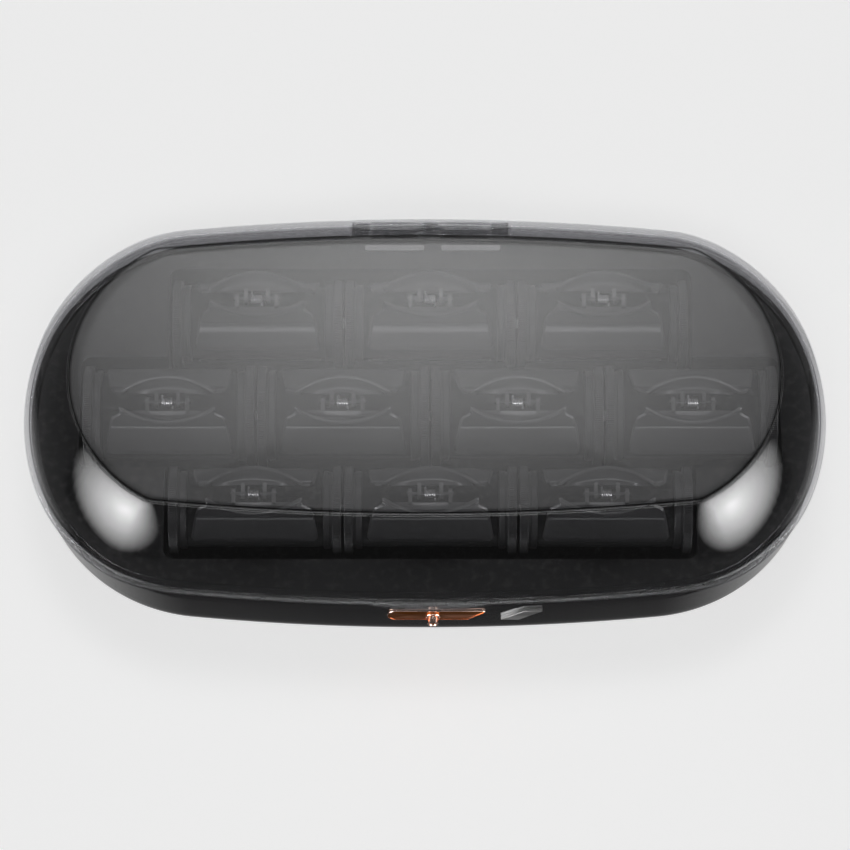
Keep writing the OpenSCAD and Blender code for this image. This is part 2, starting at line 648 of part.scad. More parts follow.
hip_y = 3.2;             // jaw's top edge, out from the pivot
knuckle_in = 4.1;        // places of the inner and outer clip knuckles along X
knuckle_out = 7.5;
handle_half = 17.5;      // half length of the handle's arc
handle_r = (handle_half * handle_half + pow(handle_bow - hip_y, 2)) / (2 * (handle_bow - hip_y));

// Side view of a jaw: a straight flank, then an arc around the barrel
module jaw_profile(row) {
    r = barrel_r(row) + jaw_gap;
    c = -pivot_z(row);
    arc = [for (i = [0:6]) 24 + (jaw_angle - 24) * i / 6];
    polygon(concat([[hip_y, 1], [hip_y + clip_wall, 1]],
        [for (t = arc) [(r + clip_wall) * sin(t), c + (r + clip_wall) * cos(t)]],
        [for (t = back(arc)) [r * sin(t), c + r * cos(t)]]));
}

// Front view of a jaw: it widens towards its edge
module jaw_front(row) {
    low = -pivot_z(row) + (barrel_r(row) + jaw_gap) * cos(jaw_angle) - 1;
    polygon([[-clip_top_l / 2 + 3, 1.1], [clip_top_l / 2 - 3, 1.1], [clip_top_l / 2, -2],
             [jaw_edge_l / 2, low], [-jaw_edge_l / 2, low], [-clip_top_l / 2, -2]]);
}

// One half of a clip, for the +Y side, with knuckles at +-ear_x
module clip_half(row, ear_x) {
    ear_t = 1.5;
    difference() {
        union() {
            intersection() {
                rotate([90, 0, 90]) linear_extrude(jaw_edge_l + 2, center = true) jaw_profile(row);
                rotate([90, 0, 0]) linear_extrude(80, center = true) jaw_front(row);
            }
            translate([0, 0, -0.6]) linear_extrude(handle_h + 0.6) intersection() {
                difference() {
                    translate([0, handle_bow - handle_r]) circle(handle_r, $fn = 96);
                    translate([0, handle_bow - handle_r]) circle(handle_r - clip_wall, $fn = 96);
                }
                translate([-handle_half, hip_y - 0.6]) square([2 * handle_half, handle_bow]);
            }
            translate([0, 0, -0.6]) linear_extrude(clip_wall) intersection() {
                translate([0, handle_bow - handle_r]) circle(handle_r - 0.5, $fn = 96);
                translate([-handle_half, hip_y]) square([2 * handle_half, handle_bow]);
            }
            for (s = [-1, 1]) translate([s * ear_x, 0, 0]) {
                bar_x(2.1, ear_t);
                translate([-ear_t / 2, 0, -2.1]) cube([ear_t, hip_y + 0.8, 3.1]);
            }
        }
        bar_x(pin_r + run, 40);
    }
}

module clip_front(i) color([0.16, 0.16, 0.17]) on_roller(i)
    mirror([0, 1, 0]) clip_half(roller_list[i][0], knuckle_out);
module clip_rear(i) color([0.16, 0.16, 0.17]) on_roller(i)
    clip_half(roller_list[i][0], knuckle_in);

// Steel pin, and the coil spring around it with two short legs
module clip_spring(i) color([0.8, 0.8, 0.82]) on_roller(i) {
    coil_r = pin_r + spring_wire_r + 0.1;
    pitch = 2 * spring_wire_r - 0.04;
    bar_x(pin_r, 2 * knuckle_out + 2.6);
    rotate([0, 90, 0]) for (k = [0:spring_turns - 1])
        translate([0, 0, (k - (spring_turns - 1) / 2) * pitch])
            rotate_extrude() translate([coil_r, 0]) circle(spring_wire_r, $fn = 16);
    for (s = [-1, 1]) translate([s * (spring_turns - 1) / 2 * pitch, s * 0.4, coil_r])
        rotate([s * -32, 0, 0]) translate([0, 0, -0.3]) cylinder(r = spring_wire_r, h = 3, $fn = 16);
}

base_shell();
case_screws();
rubber_feet();
lid_shell();
hinge_pin();
roller_tray();
heater_plate();
heating_elements();
insulation_sheet();
thermostat();
thermal_fuse();
front_strip();
button_bezel();
power_button();
button_switch();
indicator_lens();
indicator_led();
circuit_board();
power_inlet();
wiring();
for (i = [1:10]) {
    roller(i - 1);
    clip_front(i - 1);
    clip_rear(i - 1);
    clip_spring(i - 1);
}
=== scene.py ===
import math

import bmesh
import bpy
import numpy as np
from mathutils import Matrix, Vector


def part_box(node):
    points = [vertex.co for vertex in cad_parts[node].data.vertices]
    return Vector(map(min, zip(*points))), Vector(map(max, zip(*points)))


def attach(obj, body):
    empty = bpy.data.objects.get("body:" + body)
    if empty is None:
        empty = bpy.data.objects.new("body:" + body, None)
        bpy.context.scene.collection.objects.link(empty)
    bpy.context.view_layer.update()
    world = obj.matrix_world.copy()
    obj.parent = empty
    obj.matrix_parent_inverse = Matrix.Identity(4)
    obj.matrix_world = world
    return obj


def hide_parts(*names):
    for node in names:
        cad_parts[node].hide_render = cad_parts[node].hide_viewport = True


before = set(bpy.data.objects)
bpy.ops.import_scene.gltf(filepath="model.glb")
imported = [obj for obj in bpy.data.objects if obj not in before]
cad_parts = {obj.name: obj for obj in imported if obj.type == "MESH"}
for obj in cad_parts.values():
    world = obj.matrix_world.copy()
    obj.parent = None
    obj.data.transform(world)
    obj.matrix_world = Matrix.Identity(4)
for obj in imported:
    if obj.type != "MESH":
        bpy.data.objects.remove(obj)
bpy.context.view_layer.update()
MM = 0.001

# ---------------------------------------------------------------------------
# Camera. It looks down on the front of the case from well above, with a long
# lens, as catalogue pictures of such a set are taken.
camera_elevation = math.radians(66)
camera_distance = 1.75
camera_target = Vector((0.0, -4.0 * MM, 35.3 * MM))
camera_data = bpy.data.cameras.new("catalogue_camera")
camera_data.lens = 195.0
camera_data.sensor_width = 36.0
camera = bpy.data.objects.new("catalogue_camera", camera_data)
view_line = Vector((0.0, math.cos(camera_elevation), -math.sin(camera_elevation)))
camera.location = camera_target - view_line * camera_distance
camera.rotation_euler = view_line.to_track_quat("-Z", "Y").to_euler()
bpy.context.collection.objects.link(camera)
bpy.context.scene.camera = camera
bpy.context.scene.view_settings.view_transform = "Standard"

# ---------------------------------------------------------------------------
# Studio. A pale floor, a dim room, one large soft box behind and above that
# the lid's flat top mirrors, and one soft box at each front corner.
bpy.context.scene.world = bpy.data.worlds.new("room")
bpy.context.scene.world.use_nodes = True
room = bpy.context.scene.world.node_tree.nodes["Background"]
room.inputs["Color"].default_value = (1.0, 1.0, 1.0, 1.0)
room.inputs["Strength"].default_value = 0.06


def new_material(name):
    """An empty node material, with its Principled BSDF and its node tree."""
    material = bpy.data.materials.new(name)
    material.use_nodes = True
    return material, material.node_tree.nodes["Principled BSDF"], material.node_tree


def stage_mesh(name, corners, faces, material):
    """A stage object from corner points in world metres."""
    mesh = bpy.data.meshes.new(name)
    mesh.from_pydata([tuple(c) for c in corners], [], faces)
    mesh.materials.append(material)
    piece = bpy.data.objects.new(name, mesh)
    bpy.context.collection.objects.link(piece)
    return piece


def new_group(name, inputs, outputs):
    """A shader node group with float or colour sockets, and its two end nodes."""
    group = bpy.data.node_groups.new(name, "ShaderNodeTree")
    for title, kind in inputs:
        group.interface.new_socket(title, in_out="INPUT", socket_type=kind)
    for title, kind in outputs:
        group.interface.new_socket(title, in_out="OUTPUT", socket_type=kind)
    return group, group.nodes.new("NodeGroupInput"), group.nodes.new("NodeGroupOutput")


# Fine grain of a moulded or rolled surface: small bumps, and roughness that varies
grain_group, grain_in, grain_out = new_group(
    "fine_grain",
    [("Scale", "NodeSocketFloat"), ("Height", "NodeSocketFloat"), ("Roughness", "NodeSocketFloat")],
    [("Normal", "NodeSocketVector"), ("Roughness", "NodeSocketFloat")])
grain_place = grain_group.nodes.new("ShaderNodeTexCoord")
grain_noise = grain_group.nodes.new("ShaderNodeTexNoise")
grain_noise.inputs["Detail"].default_value = 3.0
grain_bump = grain_group.nodes.new("ShaderNodeBump")
grain_bump.inputs["Strength"].default_value = 1.0
patch_noise = grain_group.nodes.new("ShaderNodeTexNoise")
patch_noise.inputs["Scale"].default_value = 45.0
patch_span = grain_group.nodes.new("ShaderNodeMapRange")
patch_span.inputs["To Min"].default_value = 0.8
patch_span.inputs["To Max"].default_value = 1.2
patch_gain = grain_group.nodes.new("ShaderNodeMath")
patch_gain.operation = "MULTIPLY"
grain_link = grain_group.links.new
grain_link(grain_place.outputs["Object"], grain_noise.inputs["Vector"])
grain_link(grain_in.outputs["Scale"], grain_noise.inputs["Scale"])
grain_link(grain_noise.outputs["Fac"], grain_bump.inputs["Height"])
grain_link(grain_in.outputs["Height"], grain_bump.inputs["Distance"])
grain_link(grain_bump.outputs["Normal"], grain_out.inputs["Normal"])
grain_link(grain_place.outputs["Object"], patch_noise.inputs["Vector"])
grain_link(patch_noise.outputs["Fac"], patch_span.inputs["Value"])
grain_link(patch_span.outputs["Result"], patch_gain.inputs[0])
grain_link(grain_in.outputs["Roughness"], patch_gain.inputs[1])
grain_link(patch_gain.outputs[0], grain_out.inputs["Roughness"])

# Use: a little pale dust on what faces up, and edges rubbed slightly lighter
use_group, use_in, use_out = new_group(
    "light_use", [("Color", "NodeSocketColor"), ("Dust", "NodeSocketFloat"), ("Wear", "NodeSocketFloat")],
    [("Color", "NodeSocketColor")])
use_place = use_group.nodes.new("ShaderNodeTexCoord")
use_axes = use_group.nodes.new("ShaderNodeSeparateXYZ")
dust_noise = use_group.nodes.new("ShaderNodeTexNoise")
dust_noise.inputs["Scale"].default_value = 300.0
dust_noise.inputs["Detail"].default_value = 4.0
dust_span = use_group.nodes.new("ShaderNodeMapRange")
dust_span.inputs["From Min"].default_value = 0.5
dust_span.inputs["From Max"].default_value = 0.75
dust_up = use_group.nodes.new("ShaderNodeMath")
dust_up.operation = "MULTIPLY"
dust_up.use_clamp = True
dust_share = use_group.nodes.new("ShaderNodeMath")
dust_share.operation = "MULTIPLY"
dust_mix = use_group.nodes.new("ShaderNodeMix")
dust_mix.data_type = "RGBA"
dust_mix.inputs["B"].default_value = (0.45, 0.44, 0.42, 1)
edge_shape = use_group.nodes.new("ShaderNodeNewGeometry")
edge_span = use_group.nodes.new("ShaderNodeMapRange")
edge_span.inputs["From Min"].default_value = 0.52
edge_span.inputs["From Max"].default_value = 0.62
edge_share = use_group.nodes.new("ShaderNodeMath")
edge_share.operation = "MULTIPLY"
edge_mix = use_group.nodes.new("ShaderNodeMix")
edge_mix.data_type = "RGBA"
edge_mix.inputs["B"].default_value = (0.30, 0.30, 0.30, 1)
use_link = use_group.links.new
use_link(use_place.outputs["Normal"], use_axes.inputs[0])
use_link(use_place.outputs["Object"], dust_noise.inputs["Vector"])
use_link(dust_noise.outputs["Fac"], dust_span.inputs["Value"])
use_link(dust_span.outputs["Result"], dust_up.inputs[0])
use_link(use_axes.outputs["Z"], dust_up.inputs[1])
use_link(dust_up.outputs[0], dust_share.inputs[0])
use_link(use_in.outputs["Dust"], dust_share.inputs[1])
use_link(dust_share.outputs[0], dust_mix.inputs["Factor"])
use_link(use_in.outputs["Color"], dust_mix.inputs["A"])
use_link(edge_shape.outputs["Pointiness"], edge_span.inputs["Value"])
use_link(edge_span.outputs["Result"], edge_share.inputs[0])
use_link(use_in.outputs["Wear"], edge_share.inputs[1])
use_link(edge_share.outputs[0], edge_mix.inputs["Factor"])
use_link(dust_mix.outputs["Result"], edge_mix.inputs["A"])
use_link(edge_mix.outputs["Result"], use_out.inputs["Color"])


def finish_surface(shader, tree, scale, height, dust=0.1, wear=0.1):
    """Puts the shared grain and use on a Principled surface, from its own colour and
    roughness. Scale is in bumps per metre and height in metres."""
    grain = tree.nodes.new("ShaderNodeGroup")
    grain.node_tree = grain_group
    grain.inputs["Scale"].default_value = scale
    grain.inputs["Height"].default_value = height
    grain.inputs["Roughness"].default_value = shader.inputs["Roughness"].default_value
    tree.links.new(grain.outputs["Normal"], shader.inputs["Normal"])
    tree.links.new(grain.outputs["Roughness"], shader.inputs["Roughness"])
    use = tree.nodes.new("ShaderNodeGroup")
    use.node_tree = use_group
    use.inputs["Color"].default_value = shader.inputs["Base Color"].default_value
    use.inputs["Dust"].default_value = dust
    use.inputs["Wear"].default_value = wear
    tree.links.new(use.outputs["Color"], shader.inputs["Base Color"])


floor_material, floor_shader, _ = new_material("pale_floor")
floor_shader.inputs["Base Color"].default_value = (0.86, 0.86, 0.86, 1)
floor_shader.inputs["Roughness"].default_value = 0.9
floor_shader.inputs["Emission Color"].default_value = (1, 1, 1, 1)
floor_shader.inputs["Emission Strength"].default_value = 0.62
floor = stage_mesh("floor", [(-6, -6, 0), (6, -6, 0), (6, 6, 0), (-6, 6, 0)], [(0, 1, 2, 3)], floor_material)
floor.visible_glossy = False


def soft_box(name, centre, target, size, glow_size, strength, low=0.0, edge=1.5):
    """A glowing panel of a size (width, height) that faces its target. With r the distance
    from its middle in halves of glow_size, its light is low + (strength - low) (1 - r^edge),
    and low where r is over 1."""
    material = bpy.data.materials.new(name)
    material.use_nodes = True
    tree = material.node_tree
    tree.nodes.clear()
    output = tree.nodes.new("ShaderNodeOutputMaterial")
    glow = tree.nodes.new("ShaderNodeEmission")
    place = tree.nodes.new("ShaderNodeUVMap")
    place.uv_map = "panel"
    spread = tree.nodes.new("ShaderNodeVectorMath")
    spread.operation = "LENGTH"
    power = tree.nodes.new("ShaderNodeMath")
    power.operation = "POWER"
    power.inputs[1].default_value = edge
    fall = tree.nodes.new("ShaderNodeMath")
    fall.operation = "SUBTRACT"
    fall.use_clamp = True
    fall.inputs[0].default_value = 1.0
    gain = tree.nodes.new("ShaderNodeMath")
    gain.operation = "MULTIPLY_ADD"
    gain.inputs[1].default_value = strength - low
    gain.inputs[2].default_value = low
    link = tree.links.new
    link(place.outputs["UV"], spread.inputs[0])
    link(spread.outputs["Value"], power.inputs[0])
    link(power.outputs[0], fall.inputs[1])
    link(fall.outputs[0], gain.inputs[0])
    link(gain.outputs[0], glow.inputs["Strength"])
    link(glow.outputs[0], output.inputs["Surface"])
    centre, target = Vector(centre), Vector(target)
    facing = (target - centre).normalized()
    across = facing.cross(Vector((0, 0, 1))).normalized()
    upward = across.cross(facing)
    signs = [(-1, -1), (1, -1), (1, 1), (-1, 1)]
    corners = [centre + across * sx * size[0] / 2 + upward * sy * size[1] / 2 for sx, sy in signs]
    panel = stage_mesh(name, corners, [(0, 1, 2, 3)], material)
    layer = panel.data.uv_layers.new(name="panel")
    reach = np.array(size) / np.array(glow_size)
    layer.data.foreach_set("uv", (np.array(signs) * reach).astype(np.float32).ravel())
    panel.visible_camera = False
    return panel


case_middle = Vector((0.0, 0.0, 0.06))


def toward(azimuth, elevation, distance):
    """A place around the case, by degrees to the right of straight back and above the table."""
    a, e = math.radians(azimuth), math.radians(elevation)
    line = Vector((math.sin(a) * math.cos(e), math.cos(a) * math.cos(e), math.sin(e)))
    return case_middle + distance * line


soft_box("top_soft_box", toward(0, 61, 1.7), case_middle, (1.5, 1.0), (0.75, 0.62), 3.2, low=0.6)
soft_box("front_soft_box", toward(180, 48, 1.9), case_middle, (1.6, 0.5), (1.6, 0.5), 3.0, low=1.0)
card_size = (1.7, 1.6)
left_card = soft_box("left_card", toward(-130, 6, 1.3), case_middle, card_size, card_size, 15.0, edge=0.6)
right_card = soft_box("right_card", toward(126, 5, 1.3), case_middle, card_size, card_size, 15.0, edge=0.6)
under_card = soft_box("under_card", (0.0, 0.03, -0.3), (0.0, 0.031, 1.0), (1.0, 0.42), (1.4, 0.42), 0.6,
                      edge=2.0)
for card in (left_card, right_card, under_card):
    card.visible_diffuse = False

# ---------------------------------------------------------------------------
# Lid: one clear smoked moulding. Its rim is a bowed oblong, its sides curve
# up to a flat top inside a fine step, and a ledge runs around inside the rim.
lid_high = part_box("lid_shell")[1]
mid_x = 2.0 * MM
base_high = 34.0 * MM
rim_gap = 0.3 * MM
rim_half_length = lid_high.x
rim_half_depth = 80.4 * MM
side_radius = 900 * MM
panel_in_x = 18.6 * MM
panel_in_y = 22.5 * MM
lid_rise = 40.2 * MM
lid_wall = 2.0 * MM
panel_crown = 0.8 * MM
rim_slope = math.radians(81)
rim_z = base_high + rim_gap
panel_z = rim_z + lid_rise
rim_outline = (rim_half_length, rim_half_depth, side_radius, rim_half_depth + 11.6 * MM, 70 * MM)
panel_outline = (rim_half_length - panel_in_x, rim_half_depth - panel_in_y, side_radius + 60 * MM,
                 rim_half_depth - panel_in_y + 1 * MM, 12 * MM)
hinge_y = rim_half_depth - 1.2 * MM
hinge_z = base_high + 1.6 * MM
knuckle_radius = 2.38 * MM
knuckle_pitch = 27 * MM
knuckle_length = 6.5 * MM
lid_knuckle_length = knuckle_pitch - knuckle_length - 0.6 * MM
front_in = 2.6 * MM
front_flat = 88 * MM
front_ease = 36 * MM
lip_half = 23 * MM
lip_out = 2.2 * MM


def inset(outline, depth):
    """The outline moved inwards by depth: its arcs keep their centres."""
    half_length, half_depth, side, end, blend = outline
    return (half_length - depth, half_depth - depth, side - depth, end - depth, max(blend - depth, 3 * MM))


def arcs_of(outline):
    """The three tangent arcs in a quarter of an oblong: centres and radii of the end, blend
    and side arcs, and the two normal angles where they meet. The blend's centre is where
    the end and side arcs, less the blend's radius, cross."""
    half_length, half_depth, side, end, blend = outline
    side_centre = np.array([0.0, half_depth - side])
    end_centre = np.array([half_length - end, 0.0])
    gap = np.linalg.norm(end_centre - side_centre)
    p, q = side - blend, end - blend
    along = (p * p - q * q + gap * gap) / (2 * gap)
    off = math.sqrt(max(p * p - along * along, 0.0))
    unit = (end_centre - side_centre) / gap
    blend_centre = side_centre + along * unit + off * np.array([unit[1], -unit[0]])
    side_angle = math.atan2(*(blend_centre - side_centre)[::-1])
    end_angle = math.atan2(*(blend_centre - end_centre)[::-1])
    return (end_centre, blend_centre, side_centre), (end, blend, side), (end_angle, side_angle)


def shared_angles(outlines, steps):
    """Normal angles from 0 to 90 degrees that follow every arc of every outline closely."""
    angles = [np.array([0.0, math.pi / 2])]
    for outline in outlines:
        _, _, (first, second) = arcs_of(outline)
        for low, high in ((0.0, first), (first, second), (second, math.pi / 2)):
            angles.append(np.linspace(low, high, steps, endpoint=False))
    angles = np.unique(np.concatenate(angles).round(7))
    return angles[np.append(np.diff(angles) > 1e-4, True)]


def oblong(outline):
    """Points on an oblong of twelve tangent arcs, anticlockwise from +X. Every oblong has
    its points at the same normal angles, so that a mix of two oblongs is smooth too."""
    centres, radii, (first, second) = arcs_of(outline)
    arc = np.where(normal_angles < first, 0, np.where(normal_angles < second, 1, 2))
    centre, radius = np.array(centres)[arc], np.array(radii)[arc][:, None]
    right = centre + radius * np.column_stack([np.cos(normal_angles), np.sin(normal_angles)])
    right[-1, 0] = 0.0
    upper = np.vstack([right[:-1], (right[::-1] * [-1, 1])[:-1]])
    return np.vstack([upper, -upper])


normal_angles = shared_angles([rim_outline, panel_outline], 22)


def grid_mesh(name, points, wrap_rows=False, wrap_columns=True, first_pole=None, last_pole=None):
    """A mesh through a grid of points (rows, columns, 3). Columns close into rings, rows may
    close too, and a pole closes the first or the last ring with a fan."""
    rows, columns = points.shape[:2]
    verts = points.reshape(-1, 3)
    r = np.arange(rows if wrap_rows else rows - 1)[:, None]
    c = np.arange(columns if wrap_columns else columns - 1)[None, :]
    r2, c2 = (r + 1) % rows, (c + 1) % columns
    corners = [r * columns + c, r * columns + c2, r2 * columns + c2, r2 * columns + c]
    faces = np.stack(corners, axis=-1).reshape(-1, 4).tolist()
    ring = np.arange(columns)
    for pole, row, step in ((first_pole, 0, -1), (last_pole, rows - 1, 1)):
        if pole is not None:
            tip = len(verts)
            verts = np.vstack([verts, [pole]])
            a, b = row * columns + ring, row * columns + (ring + 1) % columns
            fan = np.column_stack([a, b, np.full(columns, tip)]) if step > 0 else np.column_stack(
                [b, a, np.full(columns, tip)])
            faces += fan.tolist()
    mesh = bpy.data.meshes.new(name)
    mesh.from_pydata(verts.tolist(), [], faces)
    mesh.update()
    return mesh


def add_piece(name, mesh, material, body, sharp=32):
    """Puts a finished mesh in the scene as a piece that rides on a body. Edges sharper
    than the given angle in degrees keep a crease in the shading."""
    mesh.materials.clear()
    mesh.materials.append(material)
    mesh.polygons.foreach_set("use_smooth", np.ones(len(mesh.polygons), dtype=bool))
    mesh.set_sharp_from_angle(angle=math.radians(sharp))
    piece = bpy.data.objects.new(name, mesh)
    bpy.context.collection.objects.link(piece)
    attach(piece, body)
    return piece


def side_arc(t, rise):
    """Place on the lid's side for t from 0 at the rim to 1 at the panel: a circular arc
    that starts at the rim's slope. Returns the share of the way in, and the height."""
    chord = math.atan2(rise, panel_in_y)
    half = rim_slope - chord
    radius = math.hypot(rise, panel_in_y) / (2 * math.sin(half))
    angle = rim_slope - 2 * half * t
    share = radius * (math.sin(rim_slope) - np.sin(angle)) / panel_in_y
    return share, radius * (np.cos(angle) - math.cos(rim_slope))


def side_place(height, rise):
    """The t of side_arc at which the lid's side has a given height."""
    chord = math.atan2(rise, panel_in_y)
    half = rim_slope - chord
    radius = math.hypot(rise, panel_in_y) / (2 * math.sin(half))
    return (rim_slope - np.arccos(height / radius + math.cos(rim_slope))) / (2 * half)


def smooth_step(x, low, high):
    """0 below low, 1 above high, and a cubic ease between them."""
    t = np.clip((x - low) / (high - low), 0.0, 1.0)
    return t * t * (3 - 2 * t)


def lid_points():
    """The lid as one closed skin: rows run from the middle of the top over the step and
    down the outside, round the rim and the ledge, and back up the inside. Over the base's
    hinge knuckles the rim is raised. The front of the rim is drawn in, and swells into a
    thumb lip there by lip_out - x^2 / 2r."""
    rim_xy, panel_xy = oblong(rim_outline), oblong(panel_outline)
    rim_in_xy = oblong(inset(rim_outline, lid_wall))
    panel_in_xy = oblong(inset(panel_outline, lid_wall))
    x, y = rim_xy[:, 0], rim_xy[:, 1]
    over = np.zeros(len(x))
    for k in (-1, 0, 1):
        away = np.abs(x - mid_x - k * knuckle_pitch) - knuckle_length / 2
        over = np.maximum(over, 1 - smooth_step(away, 0.5 * MM, 1.3 * MM))
    raised = 4.4 * MM * over * (y > 0)
    drawn = front_in * smooth_step(front_flat + front_ease - np.abs(x), 0, front_ease) * (y < 0)
    lip_radius = lip_half ** 2 / (2 * lip_out) + lip_out / 2
    lip = np.maximum(lip_out - (x - mid_x) ** 2 / (2 * lip_radius), 0) * (y < 0)
    rows = []

    def row(xy, z, share=1.0, height=1.0):
        """One ring, its front moved in by the drawn-in rim and out by the lip."""
        move = drawn * (1 - share) - lip * (1 - smooth_step(height, 2.0 * MM, 3.6 * MM))
        rows.append(np.column_stack([xy[:, 0], xy[:, 1] + move, np.broadcast_to(z, len(xy))]))

    # flat top with its crown, then a fine groove and a raised step at its edge
    for s in np.linspace(0.06, 0.94, 10):
        row(panel_xy * s, panel_z + panel_crown * (1 - s * s))
    for inward, up in ((2.4, 0.02), (1.5, 0.0), (1.2, -0.28), (0.8, -0.28), (0.5, 0.05), (0.2, 0.05)):
        row(oblong(inset(panel_outline, inward * MM)), panel_z + up * MM)
    for f in np.linspace(0.985, 0.0, 34):
        start = side_place(0.8 * MM + raised, lid_rise)
        share, height = side_arc(start + (1 - start) * f ** 1.3, lid_rise)
        side_xy = rim_xy + (panel_xy - rim_xy) * np.broadcast_to(share, len(x))[:, None]
        row(side_xy, rim_z + height, share, height)
    share, _ = side_arc(side_place(raised, lid_rise), lid_rise)
    edge_xy = rim_xy + (panel_xy - rim_xy) * share[:, None]
    inwards = (oblong(inset(rim_outline, 1 * MM)) - rim_xy)
    for inward, up in ((0.02, 0.4), (0.15, 0.12), (0.5, 0.0), (1.9, 0.0)):
        row(edge_xy + inwards * inward, rim_z + raised + up * MM, 0.0, 0.0 if inward < 1 else 1.0)
    # ledge inside the rim
    for inward, up in ((5.0, 0.0), (5.4, 0.35), (5.4, 1.1), (5.1, 1.4), (2.6, 1.5), (2.0, 2.1)):
        row(rim_xy + inwards * inward, rim_z + raised + up * MM, 0.0)
    for f in np.linspace(0.0, 1.0, 26):
        start = side_place(2.6 * MM + raised, lid_rise - lid_wall)
        share, height = side_arc(start + (1 - start) * f, lid_rise - lid_wall)
        row(rim_in_xy + (panel_in_xy - rim_in_xy) * share[:, None], rim_z + height, share)
    for s in np.linspace(0.97, 0.06, 8):
        row(panel_in_xy * s, panel_z - lid_wall + panel_crown * (1 - s * s))
    return np.stack(rows)


def see_through(name, tint):
    """A clear coloured plastic: a Principled surface that only reflects, added to a
    Transparent BSDF that tints what is seen through it. Light passes it untinted, so that
    the dark inside is lit as well as by the long exposure of a catalogue picture."""
    material, shader, tree = new_material(name)
    shader.inputs["Base Color"].default_value = (0, 0, 0, 1)
    for_light = tree.nodes.new("ShaderNodeBsdfTransparent")
    for_light.inputs["Color"].default_value = (1, 1, 1, 1)
    for_sight = tree.nodes.new("ShaderNodeBsdfTransparent")
    for_sight.inputs["Color"].default_value = (*tint, 1)
    path = tree.nodes.new("ShaderNodeLightPath")
    clear = tree.nodes.new("ShaderNodeMixShader")
    tree.links.new(path.outputs["Is Camera Ray"], clear.inputs[0])
    tree.links.new(for_light.outputs[0], clear.inputs[1])
    tree.links.new(for_sight.outputs[0], clear.inputs[2])
    both = tree.nodes.new("ShaderNodeAddShader")
    tree.links.new(shader.outputs[0], both.inputs[0])
    tree.links.new(clear.outputs[0], both.inputs[1])
    tree.links.new(both.outputs[0], tree.nodes["Material Output"].inputs["Surface"])
    return material, shader, tree


smoke, smoke_shader, smoke_tree = see_through("smoked_clear_plastic", (0.61, 0.61, 0.62))
smoke_shader.inputs["IOR"].default_value = 1.49
smoke_shader.inputs["Roughness"].default_value = 0.04
lid_mesh = grid_mesh("lid", lid_points()[:, ::-1], first_pole=(0, 0, panel_z + panel_crown),
                     last_pole=(0, 0, panel_z - lid_wall + panel_crown))
lid = add_piece("smoked_lid", lid_mesh, smoke, "lid", sharp=50)
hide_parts("lid_shell")

# The flat top has a rougher satin gloss and a pale grey base colour. The grey is painted haze that stands in
# for the reflection of the soft box above
hazed_top_smoke, hazed_top_shader, hazed_top_tree = see_through("smoked_plastic_painted_haze", (0.61, 0.61, 0.62))
# painted haze: a grey base colour on the flat top only, for the soft box's reflection
hazed_top_shader.inputs["Base Color"].default_value = (0.06, 0.06, 0.062, 1)
hazed_top_shader.inputs["IOR"].default_value = 1.49
hazed_top_shader.inputs["Roughness"].default_value = 0.12
finish_surface(hazed_top_shader, hazed_top_tree, 900, 2e-6, dust=0.04, wear=0.0)
finish_surface(smoke_shader, smoke_tree, 60, 1e-6, dust=0.01, wear=0.0)
lid_mesh.materials.append(hazed_top_smoke)
columns = 4 * (len(normal_angles) - 1)
top_rows = 13
ring_line, line_shader, line_tree = see_through("groove_shadow", (0.12, 0.12, 0.12))
line_shader.inputs["Roughness"].default_value = 0.1
finish_surface(line_shader, line_tree, 900, 2e-6, dust=0.0, wear=0.0)
lid_mesh.materials.append(ring_line)
# the flat top's faces take the painted haze, and the groove's rows take the painted groove shadow
painted_haze_and_groove_faces = np.zeros(len(lid_mesh.polygons), dtype=np.int32)
painted_haze_and_groove_faces[:top_rows * columns] = 1
painted_haze_and_groove_faces[11 * columns:13 * columns] = 2
painted_haze_and_groove_faces[-2 * columns:-columns] = 1
lid_mesh.polygons.foreach_set("material_index", painted_haze_and_groove_faces)

# ---------------------------------------------------------------------------
# Base: one glossy black moulding, a shallow tub with a rounded bottom edge.
# Its wall is drawn in a little under the lid, and holds the hinge's knuckles.
lid_overhang = 2.8 * MM
base_wall = 2.2 * MM
foot_high = 2.5 * MM
base_round = 9 * MM
base_draft = 1 * MM
front_y = -(rim_half_depth - lid_overhang)
button_x = mid_x + 1 * MM
strip_low, strip_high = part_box("front_strip")
control_z = (strip_low.z + strip_high.z) / 2
base_outline = inset(rim_outline, lid_overhang)


def tub_points():
    """The base as one closed skin: rows run from the middle of the underside out to the
    round edge, up the wall, over the lip and down the inside to the floor."""
    rows = []

    def row(depth, z):
        ring = oblong(inset(base_outline, depth))
        rows.append(np.column_stack([ring, np.full(len(ring), z)]))

    for s in (0.1, 0.4, 0.7, 0.92):
        ring = oblong(inset(base_outline, base_draft + base_round)) * s
        rows.append(np.column_stack([ring, np.full(len(ring), foot_high)]))
    for t in np.linspace(0, math.pi / 2, 12):
        row(base_draft + base_round * (1 - math.sin(t)), foot_high + base_round * (1 - math.cos(t)))
    wall_low, wall_high = foot_high + base_round, base_high - 0.5 * MM
    for f in np.linspace(0.1, 1.0, 6):
        row(base_draft * (1 - f), wall_low + (wall_high - wall_low) * f)
    for t in np.linspace(0.2, 1.0, 4) * math.pi / 2:
        row(0.5 * MM * (1 - math.cos(t)), wall_high + 0.5 * MM * math.sin(t))
    inner_round = base_round - base_wall
    floor_high = foot_high + base_wall
    row(base_wall - 0.3 * MM, base_high)
    row(base_wall, base_high - 0.3 * MM)
    for t in np.linspace(math.pi / 2, 0, 8):
        row(base_wall + base_draft + inner_round * (1 - math.sin(t)),
            floor_high + inner_round * (1 - math.cos(t)))
    ring = oblong(inset(base_outline, base_wall + base_draft + inner_round)) * 0.5
    rows.append(np.column_stack([ring, np.full(len(ring), floor_high)]))
    return np.stack(rows)


